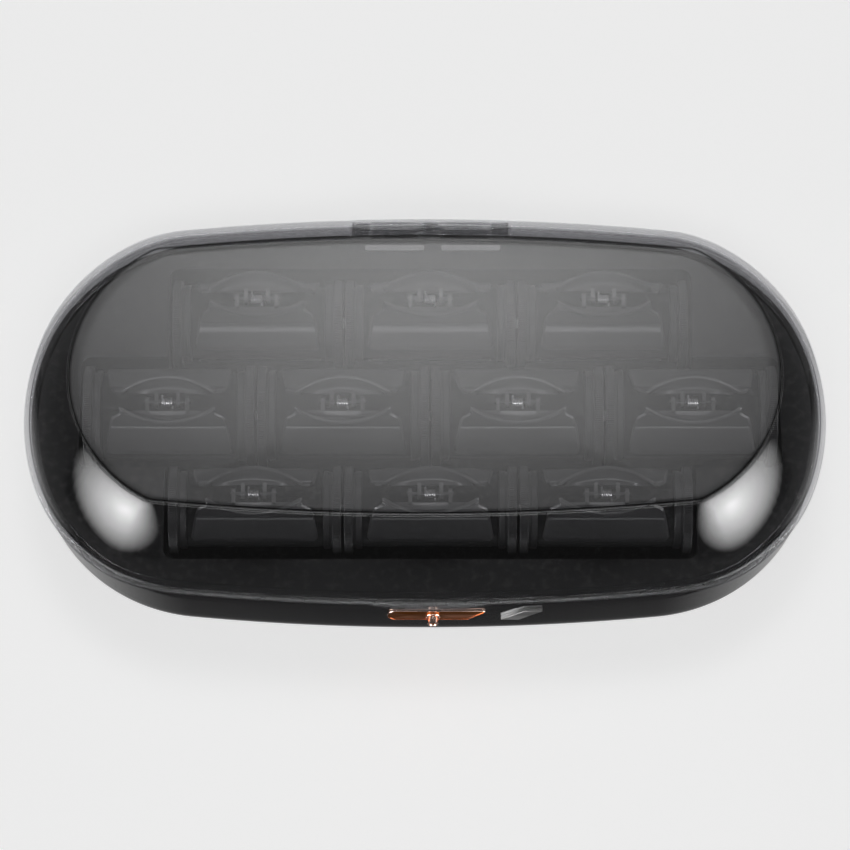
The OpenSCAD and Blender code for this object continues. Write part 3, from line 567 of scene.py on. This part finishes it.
def prism(name, outline_xy, low, high, axis="z"):
    """A closed prism: an outline of (u, v) points carried from low to high along an axis.
    For axis y the outline is (x, z), for axis x it is (y, z)."""
    outline_xy = np.asarray(outline_xy, dtype=float)
    n = len(outline_xy)
    order = {"z": (0, 1, 2), "y": (0, 2, 1), "x": (2, 0, 1)}[axis]
    layers = [np.column_stack([outline_xy, np.full(n, level)])[:, order] for level in (low, high)]
    verts = np.vstack(layers)
    i = np.arange(n)
    j = (i + 1) % n
    sides = np.column_stack([i, j, j + n, i + n]).tolist()
    mesh = bpy.data.meshes.new(name)
    mesh.from_pydata(verts.tolist(), [], sides + [i[::-1].tolist(), (i + n).tolist()])
    outward(mesh)
    return mesh


def outward(mesh):
    """Turns a closed mesh's faces so that they all point out."""
    work = bmesh.new()
    work.from_mesh(mesh)
    bmesh.ops.recalc_face_normals(work, faces=work.faces)
    work.to_mesh(mesh)
    work.free()


def disc_outline(centre, radius, steps=48):
    """A circle of points around a centre."""
    t = np.linspace(0, 2 * math.pi, steps, endpoint=False)
    return np.column_stack([centre[0] + radius * np.cos(t), centre[1] + radius * np.sin(t)])


def round_box_outline(centre, width, height, radius, steps=8):
    """A rectangle of points with round corners around a centre."""
    points = []
    for k, (sx, sy) in enumerate(((1, 1), (-1, 1), (-1, -1), (1, -1))):
        t = np.linspace(k * math.pi / 2, (k + 1) * math.pi / 2, steps)
        corner = np.array([centre[0] + sx * (width / 2 - radius), centre[1] + sy * (height / 2 - radius)])
        points.append(corner + radius * np.column_stack([np.cos(t), np.sin(t)]))
    return np.vstack(points)


def combine(mesh, tools, operation="DIFFERENCE"):
    """Cuts tool meshes out of a closed mesh, or joins them to it, one after the other."""
    body = bpy.data.objects.new("work_body", mesh)
    bpy.context.collection.objects.link(body)
    for tool in tools:
        cutter = bpy.data.objects.new("work_tool", tool)
        bpy.context.collection.objects.link(cutter)
        step = body.modifiers.new("cut", "BOOLEAN")
        step.operation = operation
        step.solver = "EXACT"
        step.object = cutter
        graph = bpy.context.evaluated_depsgraph_get()
        result = bpy.data.meshes.new_from_object(body.evaluated_get(graph))
        body.modifiers.clear()
        body.data = result
        bpy.data.objects.remove(cutter)
    mesh = body.data
    bpy.data.objects.remove(body)
    return mesh


def tub_tools():
    """What is cut out of the base: a flat seat for the copper strip, the button's hole, the
    lens's slot, the power socket's opening, seats for the feet and holes for the screws."""
    lens_low, lens_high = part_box("indicator_lens")
    inlet_low, inlet_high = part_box("power_inlet")
    slack = 0.1 * MM
    lean = 8.8 * MM
    strip_centre = ((strip_low.x + strip_high.x) / 2, control_z)
    ahead, behind = front_y - 3 * MM, front_y + 4 * MM
    tools = [
        prism("strip_seat", round_box_outline(strip_centre, strip_high.x - strip_low.x + 2 * slack,
                                              strip_high.z - strip_low.z + 2 * slack, 1.6 * MM),
              ahead, front_y + 0.7 * MM, "y"),
        prism("button_hole", disc_outline((button_x, control_z), 3.4 * MM), ahead, behind, "y"),
        prism("lens_slot", [(lens_low.x - slack, lens_low.z - slack),
                            (lens_high.x - lean + slack, lens_low.z - slack),
                            (lens_high.x + slack, lens_high.z + slack),
                            (lens_low.x + lean - slack, lens_high.z + slack)], ahead, behind, "y"),
        prism("socket_opening", round_box_outline(((inlet_low.x + inlet_high.x) / 2,
                                                   (inlet_low.z + inlet_high.z) / 2),
                                                  inlet_high.x - inlet_low.x + 2 * slack,
                                                  inlet_high.z - inlet_low.z + 2 * slack, 1 * MM),
              inlet_high.y - 6 * MM, inlet_high.y + 8 * MM, "y"),
    ]
    foot_radius, screw_head = 7 * MM, 3 * MM
    feet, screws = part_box("rubber_feet")[1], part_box("case_screws")[1]
    for sx, sy in ((-1, -1), (-1, 1), (1, -1), (1, 1)):
        foot = (sx * (feet.x - foot_radius), sy * (feet.y - foot_radius))
        tools.append(prism("foot_seat", disc_outline(foot, foot_radius + slack), 0, foot_high + 0.6 * MM))
        screw = (sx * (screws.x - screw_head), sy * (screws.y - screw_head))
        tools.append(prism("screw_hole", disc_outline(screw, screw_head + 0.3 * MM, 32), 0,
                           foot_high + base_wall + 1.4 * MM))
    return tools


base_black, base_shader, base_tree = new_material("gloss_black_plastic")
base_shader.inputs["Base Color"].default_value = (0.012, 0.012, 0.013, 1)
base_shader.inputs["Roughness"].default_value = 0.12
base_shader.inputs["Coat Weight"].default_value = 0.5
base_shader.inputs["Coat Roughness"].default_value = 0.04
finish_surface(base_shader, base_tree, 700, 2e-6, dust=0.03, wear=0.05)
tub_mesh = grid_mesh("tub", tub_points(), first_pole=(0, 0, foot_high),
                     last_pole=(0, 0, foot_high + base_wall))
base = add_piece("base_tub", combine(tub_mesh, tub_tools()), base_black, "case", sharp=30)
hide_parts("base_shell")

# ---------------------------------------------------------------------------
# Hinge: three knuckles on arms from the base and two on the lid, in turn on
# one steel pin, flush with the back of the lid.


def knuckle_mesh(name, x, length, arm):
    """A knuckle around the hinge's pin with rounded ends; arm adds a foot down to the base."""
    soft = 0.3 * MM
    rings = []
    t = np.linspace(0, 2 * math.pi, 40, endpoint=False)
    for place, radius in ((0, knuckle_radius - soft), (soft, knuckle_radius), (length - soft, knuckle_radius),
                          (length, knuckle_radius - soft)):
        y, z = radius * np.cos(t), radius * np.sin(t)
        if arm:
            low = t > math.pi
            z = np.where(low, z * (1 + 1.5 * np.abs(np.sin(t))), z)
            y = np.where(low, y - 1.3 * MM * np.abs(np.sin(t)), y)
        rings.append(np.column_stack([np.full(len(t), x - length / 2 + place), hinge_y + y, hinge_z + z]))
    middle = (hinge_y, hinge_z)
    mesh = grid_mesh(name, np.stack(rings), first_pole=(x - length / 2, *middle),
                     last_pole=(x + length / 2, *middle))
    outward(mesh)
    return mesh


for k in (-1, 0, 1):
    knuckle = knuckle_mesh("knuckle", mid_x + k * knuckle_pitch, knuckle_length, True)
    add_piece(f"base_knuckle_{k + 2}", knuckle, smoke, "case", sharp=40)
for k in (0, 1):
    knuckle = knuckle_mesh("knuckle", mid_x + (k - 0.5) * knuckle_pitch, lid_knuckle_length, False)
    add_piece(f"lid_knuckle_{k + 1}", knuckle, smoke, "lid", sharp=40)

# ---------------------------------------------------------------------------
# Pale strips: two pale, rough pieces on the tray's deck in front of the lid's
# knuckles, under the lid's back edge.
band_material, band_shader, band_tree = new_material("pale_deck_strip")
# the two strips' pale, rough colour; what the strips are made of is not known
band_shader.inputs["Base Color"].default_value = (0.85, 0.85, 0.84, 1)
band_shader.inputs["Roughness"].default_value = 0.9
finish_surface(band_shader, band_tree, 3000, 4e-5)
band_length = 23 * MM
band_y = 72 * MM
for k in (0, 1):
    band_x = mid_x + 1 * MM + (k - 0.5) * 29.5 * MM
    outline = round_box_outline((band_x, band_y), band_length, 2.2 * MM, 0.8 * MM)
    band = prism(f"deck_band_{k + 1}", outline, base_high - 1.4 * MM, base_high - 0.6 * MM)
    add_piece(f"deck_band_{k + 1}", band, band_material, "case", sharp=30)

# ---------------------------------------------------------------------------
# Tray: a satin black moulding with a stepped well, kept from the frame. Its
# deck carries the case's inside, and round cradles hold the rollers' rims.
tray_black, tray_shader, tray_tree = new_material("satin_black_plastic")
tray_shader.inputs["Base Color"].default_value = (0.02, 0.02, 0.021, 1)
tray_shader.inputs["Specular IOR Level"].default_value = 0.3
tray_shader.inputs["Roughness"].default_value = 0.38
finish_surface(tray_shader, tray_tree, 1500, 1e-5, dust=0.12)


def repaint(node, material):
    """Gives a piece kept from the frame its material."""
    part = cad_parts[node]
    part.data.materials.clear()
    part.data.materials.append(material)


repaint("roller_tray", tray_black)

# ---------------------------------------------------------------------------
# Rollers: black barrels flocked like velvet, each between two finely ribbed
# end rims and smooth collars. A bright stud of the core shows at each end.
roller_black, roller_shader, roller_tree = new_material("roller_black_plastic")
roller_shader.inputs["Base Color"].default_value = (0.11, 0.11, 0.113, 1)
roller_shader.inputs["Roughness"].default_value = 0.35
finish_surface(roller_shader, roller_tree, 1200, 5e-6)
flock_black, flock_shader, flock_tree = new_material("black_flock")
flock_shader.inputs["Base Color"].default_value = (0.012, 0.012, 0.013, 1)
flock_shader.inputs["Roughness"].default_value = 0.9
flock_shader.inputs["Sheen Weight"].default_value = 0.1
flock_shader.inputs["Sheen Roughness"].default_value = 0.4
finish_surface(flock_shader, flock_tree, 4000, 1.2e-4, dust=0.15, wear=0.0)
stud_steel, stud_shader, stud_tree = new_material("bright_steel")
stud_shader.inputs["Base Color"].default_value = (0.92, 0.92, 0.93, 1)
stud_shader.inputs["Metallic"].default_value = 1.0
stud_shader.inputs["Roughness"].default_value = 0.32
finish_surface(stud_shader, stud_tree, 2500, 1e-6, dust=0.0, wear=0.0)
pin_steel, pin_shader, pin_tree = new_material("blackened_steel")
pin_shader.inputs["Base Color"].default_value = (0.16, 0.16, 0.165, 1)
pin_shader.inputs["Metallic"].default_value = 1.0
pin_shader.inputs["Roughness"].default_value = 0.4
finish_surface(pin_shader, pin_tree, 2500, 2e-6, dust=0.0)
rim_step = 2.7 * MM
rim_width = 3.4 * MM
groove_width = 0.8 * MM
collar_width = 2.6 * MM
collar_height = 1.0 * MM
tooth_depth = 0.3 * MM
tooth_pitch = 0.8 * MM
roller_count = 10


def lathe_x(profile, centre, columns, teeth=0):
    """A turned shape around an axis along X: rows of (x, radius, tooth depth), each radius
    lowered by its depth times (1 - cos(teeth * angle)) / 2."""
    profile = np.asarray(profile, dtype=float)
    angle = np.linspace(0, 2 * math.pi, columns, endpoint=False)
    wave = (1 - np.cos(teeth * angle)) / 2
    radius = profile[:, 1:2] - profile[:, 2:3] * wave
    x = np.broadcast_to(profile[:, 0:1], radius.shape)
    return np.stack([x + centre[0], centre[1] - radius * np.sin(angle),
                     centre[2] + radius * np.cos(angle)], axis=-1)


def roller_profile(half, rim, barrel):
    """Half of a roller's side view, from its end face in to the middle of the barrel."""
    face = [(half - 0.7, 2.4), (half - 0.7, rim * 1000 - 4.2), (half, rim * 1000 - 3.6),
            (half, rim * 1000 - 0.7)]
    inner = half - rim_width * 1000
    groove = inner - groove_width * 1000
    collar = groove - collar_width * 1000
    b, r = barrel * 1000, rim * 1000
    c = b + collar_height * 1000
    plain = face + [(half - 0.12, r - 0.3)]
    ribbed = [(half - 0.35, r), (half - 1.0, r), (half - 1.7, r), (half - 2.4, r), (inner + 0.35, r)]
    rest = [(inner + 0.1, r - 0.3), (inner, r - 0.6), (inner, b + 0.5), (groove, b + 0.5), (groove, c - 0.3),
            (groove - 0.3, c), (collar + 0.4, c), (collar + 0.1, c - 0.25), (collar, b), (collar - 2, b),
            (half * 0.5, b), (half * 0.25, b), (0.0, b)]
    rows = [(x, radius, 0.0) for x, radius in plain] + [(x, radius, tooth_depth / MM) for x, radius in ribbed]
    return np.array(rows + [(x, radius, 0.0) for x, radius in rest]) * MM


def roller_mesh(name, low, high):
    """One roller in its node's box: the half profile, mirrored, turned about the axis."""
    half = (high.x - low.x) / 2 / MM - 0.35
    rim = (high.z - low.z) / 2
    right = roller_profile(half, rim, rim - rim_step)
    left = right[:-1][::-1] * [-1, 1, 1]
    profile = np.vstack([right, left[::1]])
    teeth = int(round(2 * math.pi * rim / tooth_pitch))
    centre = ((low.x + high.x) / 2, (low.y + high.y) / 2, (low.z + high.z) / 2)
    points = lathe_x(profile, centre, 4 * teeth, teeth)
    end = np.array([half * MM - 0.7 * MM, 0, 0])
    return grid_mesh(name, points, first_pole=tuple(centre + end), last_pole=tuple(centre - end))


def stud_mesh(name, low, high):
    """The two bright studs of a roller's core, turned with round edges."""
    length = high.x - low.x
    centre = np.array([(low.x + high.x) / 2, (low.y + high.y) / 2, (low.z + high.z) / 2])
    rows = []
    for side in (1, -1):
        out = side * length / 2
        profile = [(out, 1.5 * MM, 0), (out - side * 0.2 * MM, 1.9 * MM, 0),
                   (out - side * 0.4 * MM, 2.0 * MM, 0), (out - side * 3 * MM, 2.0 * MM, 0)]
        points = lathe_x(profile, centre, 40)
        mesh = grid_mesh(name, points, first_pole=tuple(centre + [out, 0, 0]),
                         last_pole=tuple(centre + [out - side * 3 * MM, 0, 0]))
        rows.append(mesh)
    return join_meshes(name, rows)


def join_meshes(name, meshes):
    """One mesh that holds several closed ones."""
    work = bmesh.new()
    for mesh in meshes:
        work.from_mesh(mesh)
    bmesh.ops.remove_doubles(work, verts=work.verts, dist=1e-7)
    bmesh.ops.recalc_face_normals(work, faces=work.faces)
    joined = bpy.data.meshes.new(name)
    work.to_mesh(joined)
    work.free()
    return joined


for number in range(1, roller_count + 1):
    low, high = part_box(f"roller_{number}")
    mesh = roller_mesh(f"roller_{number}_barrel", low, high)
    outward(mesh)
    barrel = add_piece(f"roller_{number}_barrel", mesh, roller_black, f"roller_{number}")
    mesh.materials.append(flock_black)
    reach = np.array([abs(f.center.x - (low.x + high.x) / 2) for f in mesh.polygons])
    flocked = reach < (high.x - low.x) / 2 - rim_width - groove_width - collar_width - 0.6 * MM
    mesh.polygons.foreach_set("material_index", flocked.astype(np.int32))
    add_piece(f"roller_{number}_studs", stud_mesh("studs", low, high), stud_steel, f"roller_{number}")
    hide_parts(f"roller_{number}")

# ---------------------------------------------------------------------------
# Clips: two smoked plastic halves on a steel pin, each a jaw that hugs the
# roller and a handle that bows outwards, and a bright torsion spring between.
clip_smoke, clip_shader, clip_tree = new_material("smoked_clip_plastic")
clip_shader.inputs["Base Color"].default_value = (0.17, 0.17, 0.175, 1)
clip_shader.inputs["Roughness"].default_value = 0.22
clip_shader.inputs["Coat Weight"].default_value = 0.7
finish_surface(clip_shader, clip_tree, 900, 3e-6, wear=0.5)
pivot_over_barrel = 7.8 * MM
clip_wall = 1.6 * MM
jaw_gap = 0.6 * MM
jaw_edge_half = 23.5 * MM
hip_half = 20 * MM
handle_half = 17.5 * MM
hip_out = 3.9 * MM
handle_bow = 9.6 * MM - 0.8 * MM
handle_high = 4.5 * MM
jaw_angle = math.radians(64)
jaw_start = math.radians(24)
lean = {"rear": 0.0, "middle": math.radians(12), "front": math.radians(7)}
rows_of = ["rear"] * 3 + ["middle"] * 4 + ["front"] * 3


def thick_sheet(name, points, thickness):
    """A closed plate around a middle surface (rows, columns, 3): every point is moved half
    the thickness along the surface's normal to both sides, with half-round edges between."""
    along = np.gradient(points, axis=0)
    across = np.gradient(points, axis=1)
    normal = np.cross(across, along)
    normal /= np.linalg.norm(normal, axis=2, keepdims=True)
    thickness = np.broadcast_to(thickness, points.shape[:2])[..., None]
    side = across / np.linalg.norm(across, axis=2, keepdims=True)
    tip = along / np.linalg.norm(along, axis=2, keepdims=True)
    half = thickness / 2

    def loop(base, lift, push):
        """A ring around one row: the upper side, a nose, the lower side and a nose."""
        upper = base + normal_row * half_row * lift + tip_row * half_row * push
        lower = base - normal_row * half_row * lift + tip_row * half_row * push
        nose_right = base[-1:] + side_row[-1:] * half_row[-1:] * 0.9 + tip_row[-1:] * half_row[-1:] * push
        nose_left = base[:1] - side_row[:1] * half_row[:1] * 0.9 + tip_row[:1] * half_row[:1] * push
        return np.vstack([upper, nose_right, lower[::-1], nose_left])

    rings = []
    count = points.shape[0]
    for k in range(count):
        normal_row, half_row, side_row, tip_row = normal[k], half[k], side[k], tip[k]
        if k == 0:
            rings.append(loop(points[k], 0.0, -0.9))
            rings.append(loop(points[k], 0.7, -0.6))
        rings.append(loop(points[k], 1.0, 0.0))
        if k == count - 1:
            rings.append(loop(points[k], 0.7, 0.6))
            rings.append(loop(points[k], 0.0, 0.9))
    mesh = grid_mesh(name, np.stack(rings))
    return mesh


def clip_sheet(barrel, pivot):
    """The middle surface of a clip half, for the +Y side, with its pivot at the origin: rows
    run from the jaw's edge around the barrel, up the flank to the hip, and out along the
    handle, whose edge bows as 1 - u^2 across the clip."""
    u = np.linspace(-1, 1, 49)
    radius = barrel + jaw_gap + clip_wall / 2
    rows = []
    for t in np.linspace(jaw_angle, jaw_start, 16):
        share = (jaw_angle - t) / (jaw_angle - jaw_start)
        half = jaw_edge_half + (hip_half + 1.6 * MM - jaw_edge_half) * share
        edge = smooth_step(share, 0.0, 0.12)
        half = half - 1.2 * MM * (1 - edge)
        rows.append(np.column_stack([u * half, np.full(len(u), radius * math.sin(t)),
                                     np.full(len(u), radius * math.cos(t) - pivot)]))
    start = np.array([radius * math.sin(jaw_start), radius * math.cos(jaw_start) - pivot])
    hip = np.array([hip_out, -0.4 * MM])
    for f in np.linspace(0.15, 0.95, 7):
        place = start + (hip - start) * f
        half = hip_half + 1.6 * MM * (1 - f) - 2.6 * MM * smooth_step(f, 0.6, 1.0)
        rows.append(np.column_stack([u * half, np.full(len(u), place[0]), np.full(len(u), place[1])]))
    for v in np.linspace(0.0, 1.0, 12):
        turn = v * math.pi / 2
        half = handle_half
        bow = (handle_bow - hip_out) * (1 - u * u)
        out = hip_out + bow * math.sin(turn) - 0.7 * MM * (u * u) * math.sin(turn)
        up = hip[1] + (handle_high - hip[1] - 0.9 * MM * u * u) * (1 - math.cos(turn)) + 0.2 * MM * v
        rows.append(np.column_stack([u * half, out, up]))
    return np.stack(rows)


def clip_thickness(shape):
    """Wall of the clip half over its rows and columns, with a raised grip bead in two
    lengths near the jaw's edge."""
    rows, columns = shape
    u = np.linspace(-1, 1, columns)[None, :]
    k = np.arange(rows)[:, None]
    bead = np.exp(-((k - 2.5) / 0.9) ** 2)
    lengths = smooth_step(np.abs(u), 0.07, 0.1) * (1 - smooth_step(np.abs(u), 0.74, 0.78))
    return clip_wall + 0.7 * MM * bead * lengths


def ear_mesh(name, x, reach):
    """A clip's knuckle: a plate around the pin, drawn out to the clip half's hip."""
    t = np.linspace(-math.pi / 2, -3 * math.pi / 2, 20)
    nose = np.column_stack([2.1 * MM * np.cos(t), 2.1 * MM * np.sin(t)])
    outline = np.vstack([nose, [(reach, 1.6 * MM), (reach, -2.1 * MM)]])
    return prism(name, outline, x - 0.75 * MM, x + 0.75 * MM, "x")


def helix_tube(name, radius, wire, turns, half_length, legs):
    """A torsion spring along X: a wire of the given radius along a helix, with a straight leg
    tangent to each end."""
    t = np.linspace(0, turns * 2 * math.pi, int(turns * 28) + 1) + math.pi / 2
    f = (t - t[0]) / (t[-1] - t[0])
    path = np.column_stack([-half_length + 2 * half_length * f, radius * np.cos(t), radius * np.sin(t)])
    first = path[0] + np.array([0, 1, 0]) * np.linspace(legs, 0.3 * legs, 4)[:, None]
    ends = path[-1] - np.array([0, 1, 0]) * np.linspace(0.3 * legs, legs, 4)[:, None]
    path = np.vstack([first, path, ends])
    along = np.gradient(path, axis=0)
    along /= np.linalg.norm(along, axis=1, keepdims=True)
    across = np.cross(along, [1.0, 0.0, 0.0])
    across /= np.linalg.norm(across, axis=1, keepdims=True)
    upward = np.cross(across, along)
    a = np.linspace(0, 2 * math.pi, 10, endpoint=False)[None, :, None]
    tube = path[:, None] + wire * (np.cos(a) * across[:, None] + np.sin(a) * upward[:, None])
    return grid_mesh(name, tube, first_pole=tuple(path[0]), last_pole=tuple(path[-1]))


def place(mesh, pivot, tilt, mirror=False):
    """Moves a clip's mesh from its own frame to its pivot, leant forward by tilt."""
    points = np.empty(len(mesh.vertices) * 3)
    mesh.vertices.foreach_get("co", points)
    points = points.reshape(-1, 3)
    if mirror:
        points[:, 1] *= -1
    y = points[:, 1] * math.cos(tilt) - points[:, 2] * math.sin(tilt)
    z = points[:, 1] * math.sin(tilt) + points[:, 2] * math.cos(tilt)
    moved = np.column_stack([points[:, 0], y, z]) + np.array(pivot)
    mesh.vertices.foreach_set("co", moved.ravel())
    mesh.update()
    outward(mesh)
    return mesh


for number in range(1, roller_count + 1):
    low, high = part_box(f"roller_{number}")
    barrel_radius = (high.z - low.z) / 2 - rim_step
    pivot_rise = barrel_radius + pivot_over_barrel
    tilt = lean[rows_of[number - 1]]
    centre = np.array([(low.x + high.x) / 2, (low.y + high.y) / 2, (low.z + high.z) / 2])
    pivot = centre + np.array([0.0, -pivot_rise * math.sin(tilt), pivot_rise * math.cos(tilt)])
    sheet = clip_sheet(barrel_radius, pivot_rise)
    for side, mirror, ear_x in (("front", True, 7.5 * MM), ("rear", False, 4.1 * MM)):
        plate = thick_sheet("plate", sheet, clip_thickness(sheet.shape[:2]))
        ears = [ear_mesh("ear", s * ear_x, hip_out) for s in (-1, 1)]
        half = place(join_meshes(f"clip_{side}_{number}_half", [plate] + ears), pivot, tilt, mirror)
        piece = add_piece(f"clip_{side}_{number}_half", half, clip_smoke, f"clip_{side}_{number}")
        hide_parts(f"clip_{side}_{number}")
    coil = helix_tube("coil", 1.2 * MM, 0.4 * MM, 4.5, 1.9 * MM, 2.4 * MM)
    pin_profile = [(8.8, 0.5, 0), (8.7, 0.7, 0), (0, 0.7, 0), (-8.7, 0.7, 0), (-8.8, 0.5, 0)]
    pin = grid_mesh("pin", lathe_x(np.array(pin_profile) * MM, (0, 0, 0), 24),
                    first_pole=(8.8 * MM, 0, 0), last_pole=(-8.8 * MM, 0, 0))
    coil_piece = add_piece(f"clip_spring_{number}_coil", place(coil, pivot, tilt), stud_steel,
                           f"roller_{number}")
    add_piece(f"clip_spring_{number}_pin", place(pin, pivot, tilt), pin_steel, f"roller_{number}")
    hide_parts(f"clip_spring_{number}")

# ---------------------------------------------------------------------------
# Controls: a copper strip in the base's front, a round power button in a
# bright rose-gold ring, and a slanted silver lens over the indicator light.
copper, copper_shader, copper_tree = new_material("rose_copper")
copper_shader.inputs["Base Color"].default_value = (0.55, 0.17, 0.03, 1)
copper_shader.inputs["Metallic"].default_value = 1.0
copper_shader.inputs["Roughness"].default_value = 0.3
finish_surface(copper_shader, copper_tree, 2000, 3e-6, dust=0.0, wear=0.0)
rose_bright, bright_shader, bright_tree = new_material("bright_rose_gold")
bright_shader.inputs["Base Color"].default_value = (0.93, 0.66, 0.56, 1)
bright_shader.inputs["Metallic"].default_value = 1.0
bright_shader.inputs["Roughness"].default_value = 0.16
finish_surface(bright_shader, bright_tree, 2500, 1e-6, dust=0.0, wear=0.0)
lens_silver, lens_shader, lens_tree = new_material("grained_silver")
lens_shader.inputs["Base Color"].default_value = (0.4, 0.4, 0.4, 1)
lens_shader.inputs["Metallic"].default_value = 0.8
lens_shader.inputs["Roughness"].default_value = 0.35
finish_surface(lens_shader, lens_tree, 2600, 4e-5, dust=0.0, wear=0.0)
button_radius = 2.0 * MM
button_reach = front_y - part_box("power_button")[0].y


def strip_outline(grow):
    """The strip from the front, as (x, z): its left end is drawn to a soft point, and its
    right end leans up like the lens beside it."""
    left, right = strip_low.x - grow, strip_high.x + grow
    low, high = strip_low.z - grow, strip_high.z + grow
    middle = (low + high) / 2
    nose = np.linspace(-math.pi / 2, math.pi / 2, 9)[::-1]
    tip = [(left + 3.2 * MM - 3.2 * MM * math.cos(a), middle + (high - middle) * math.sin(a)) for a in nose]
    end = [(right - 7.0 * MM, low), (right - 0.8 * MM, high - 0.8 * MM), (right - 1.4 * MM, high)]
    return np.array(end + tip)


def plaque(name, outline, back, front, edge):
    """A plate in the front wall whose front edge is rounded by edge: shrinking copies of the
    outline, from the back to the face, closed at both ends."""
    outline = np.asarray(outline, dtype=float)
    middle = outline.mean(axis=0)
    reach = np.abs(outline - middle).max(axis=0)
    rings = []
    for depth, inside in ((0.0, 0.0), (1.0, 0.0), (1.0, 0.3), (1.0, 1.0)):
        scale = 1 - inside * edge / reach
        y = back + (front + edge - back) * depth - edge * (1 - (1 - inside) ** 2) * (inside > 0)
        ring = middle + (outline - middle) * scale
        rings.append(np.column_stack([ring[:, 0], np.full(len(ring), y), ring[:, 1]]))
    mesh = grid_mesh(name, np.stack(rings), first_pole=(middle[0], back, middle[1]),
                     last_pole=(middle[0], front, middle[1]))
    outward(mesh)
    return mesh


bore = prism("bore", disc_outline((button_x, control_z), button_radius + 0.15 * MM), front_y - 5 * MM,
             front_y + 5 * MM, "y")
strip_plate = plaque("strip", strip_outline(-0.25 * MM), strip_high.y, strip_low.y + 0.15 * MM, 0.25 * MM)
strip_mesh = combine(strip_plate, [bore])
strip = add_piece("copper_strip", strip_mesh, copper, "case", sharp=40)
rim_outer = plaque("strip_rim", strip_outline(0.0), strip_high.y, strip_low.y, 0.2 * MM)
rim_hole = prism("rim_hole", strip_outline(-0.35 * MM), front_y - 5 * MM, front_y + 5 * MM, "y")
add_piece("copper_strip_rim", combine(rim_outer, [rim_hole]), rose_bright, "case", sharp=40)
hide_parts("front_strip")


def lathe_y(profile, columns=64):
    """A turned shape around the button's axis, from rows of (distance in front of the wall's
    face, radius) in millimetres."""
    profile = np.asarray(profile, dtype=float) * MM
    angle = np.linspace(0, 2 * math.pi, columns, endpoint=False)
    y = np.broadcast_to(front_y - profile[:, 0:1], (len(profile), columns))
    return np.stack([button_x + profile[:, 1:2] * np.cos(angle), y,
                     control_z + profile[:, 1:2] * np.sin(angle)], axis=-1)


ring_profile = [(0.45, 2.2), (0.45, 2.65), (0.7, 2.78), (0.95, 2.7), (1.15, 2.55), (1.2, 2.45), (1.1, 2.3),
                (0.9, 2.2)]
bezel_mesh = grid_mesh("bezel", lathe_y(ring_profile), wrap_rows=True)
outward(bezel_mesh)
bezel = add_piece("button_ring", bezel_mesh, rose_bright, "case", sharp=60)
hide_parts("button_bezel")
face = button_reach / MM
cap_profile = [(-6.3, 1.4), (-3.5, 1.4), (-3.5, 3.1), (-2.4, 3.1), (-2.4, 2.0), (face - 0.5, 2.0),
               (face - 0.15, 1.9), (face, 1.65), (face - 0.05, 1.4), (face - 0.35, 1.2)]
cap_mesh = grid_mesh("cap", lathe_y(cap_profile), first_pole=(button_x, front_y + 6.3 * MM, control_z),
                     last_pole=(button_x, front_y - (face - 0.4) * MM, control_z))
outward(cap_mesh)
cap = add_piece("power_button_cap", cap_mesh, rose_bright, "power_button", sharp=40)
cap_mesh.materials.append(copper)
dished = [f.center.y < front_y - (face - 0.6) * MM
          and math.hypot(f.center.x - button_x, f.center.z - control_z) < 1.25 * MM
          for f in cap_mesh.polygons]
cap_mesh.polygons.foreach_set("material_index", np.array(dished, dtype=np.int32))
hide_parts("power_button")

lens_low, lens_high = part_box("indicator_lens")
lens_lean = 8.8 * MM
lens_xz = np.array([(lens_low.x, lens_low.z), (lens_high.x - lens_lean, lens_low.z),
                    (lens_high.x, lens_high.z), (lens_low.x + lens_lean, lens_high.z)])
lens_mesh = plaque("lens", lens_xz, lens_high.y, lens_low.y, 0.12 * MM)
lens = add_piece("silver_lens", lens_mesh, lens_silver, "case", sharp=50)
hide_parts("indicator_lens")

# ---------------------------------------------------------------------------
# Feet, screws, hinge pin and what is inside the base: pieces kept from the
# frame, each with the material it is made of.
plain_pieces = {
    "rubber_feet": ("foot_rubber", (0.03, 0.03, 0.03), 0.0, 0.75),
    "heater_plate": ("cast_aluminium", (0.62, 0.62, 0.63), 1.0, 0.42),
    "heating_elements": ("white_ceramic", (0.78, 0.74, 0.66), 0.0, 0.5),
    "insulation_sheet": ("mica_sheet", (0.5, 0.42, 0.28), 0.0, 0.45),
    "thermostat": ("steatite", (0.8, 0.78, 0.72), 0.0, 0.4),
    "thermal_fuse": ("fuse_ceramic", (0.85, 0.84, 0.78), 0.0, 0.4),
    "button_switch": ("switch_grey", (0.12, 0.12, 0.13), 0.0, 0.5),
    "circuit_board": ("board_laminate", (0.03, 0.16, 0.07), 0.0, 0.4),
    "indicator_led": ("red_led", (0.6, 0.05, 0.03), 0.0, 0.15),
    "power_inlet": ("inlet_nylon", (0.025, 0.025, 0.026), 0.0, 0.45),
    "wiring": ("wire_insulation", (0.5, 0.02, 0.015), 0.0, 0.4),
}
for node, (title, colour, metallic, roughness) in plain_pieces.items():
    material, shader, tree = new_material(title)
    shader.inputs["Base Color"].default_value = (*colour, 1)
    shader.inputs["Metallic"].default_value = metallic
    shader.inputs["Roughness"].default_value = roughness
    finish_surface(shader, tree, 1500, 8e-6, dust=0.05)
    repaint(node, material)
repaint("hinge_pin", stud_steel)
repaint("case_screws", stud_steel)
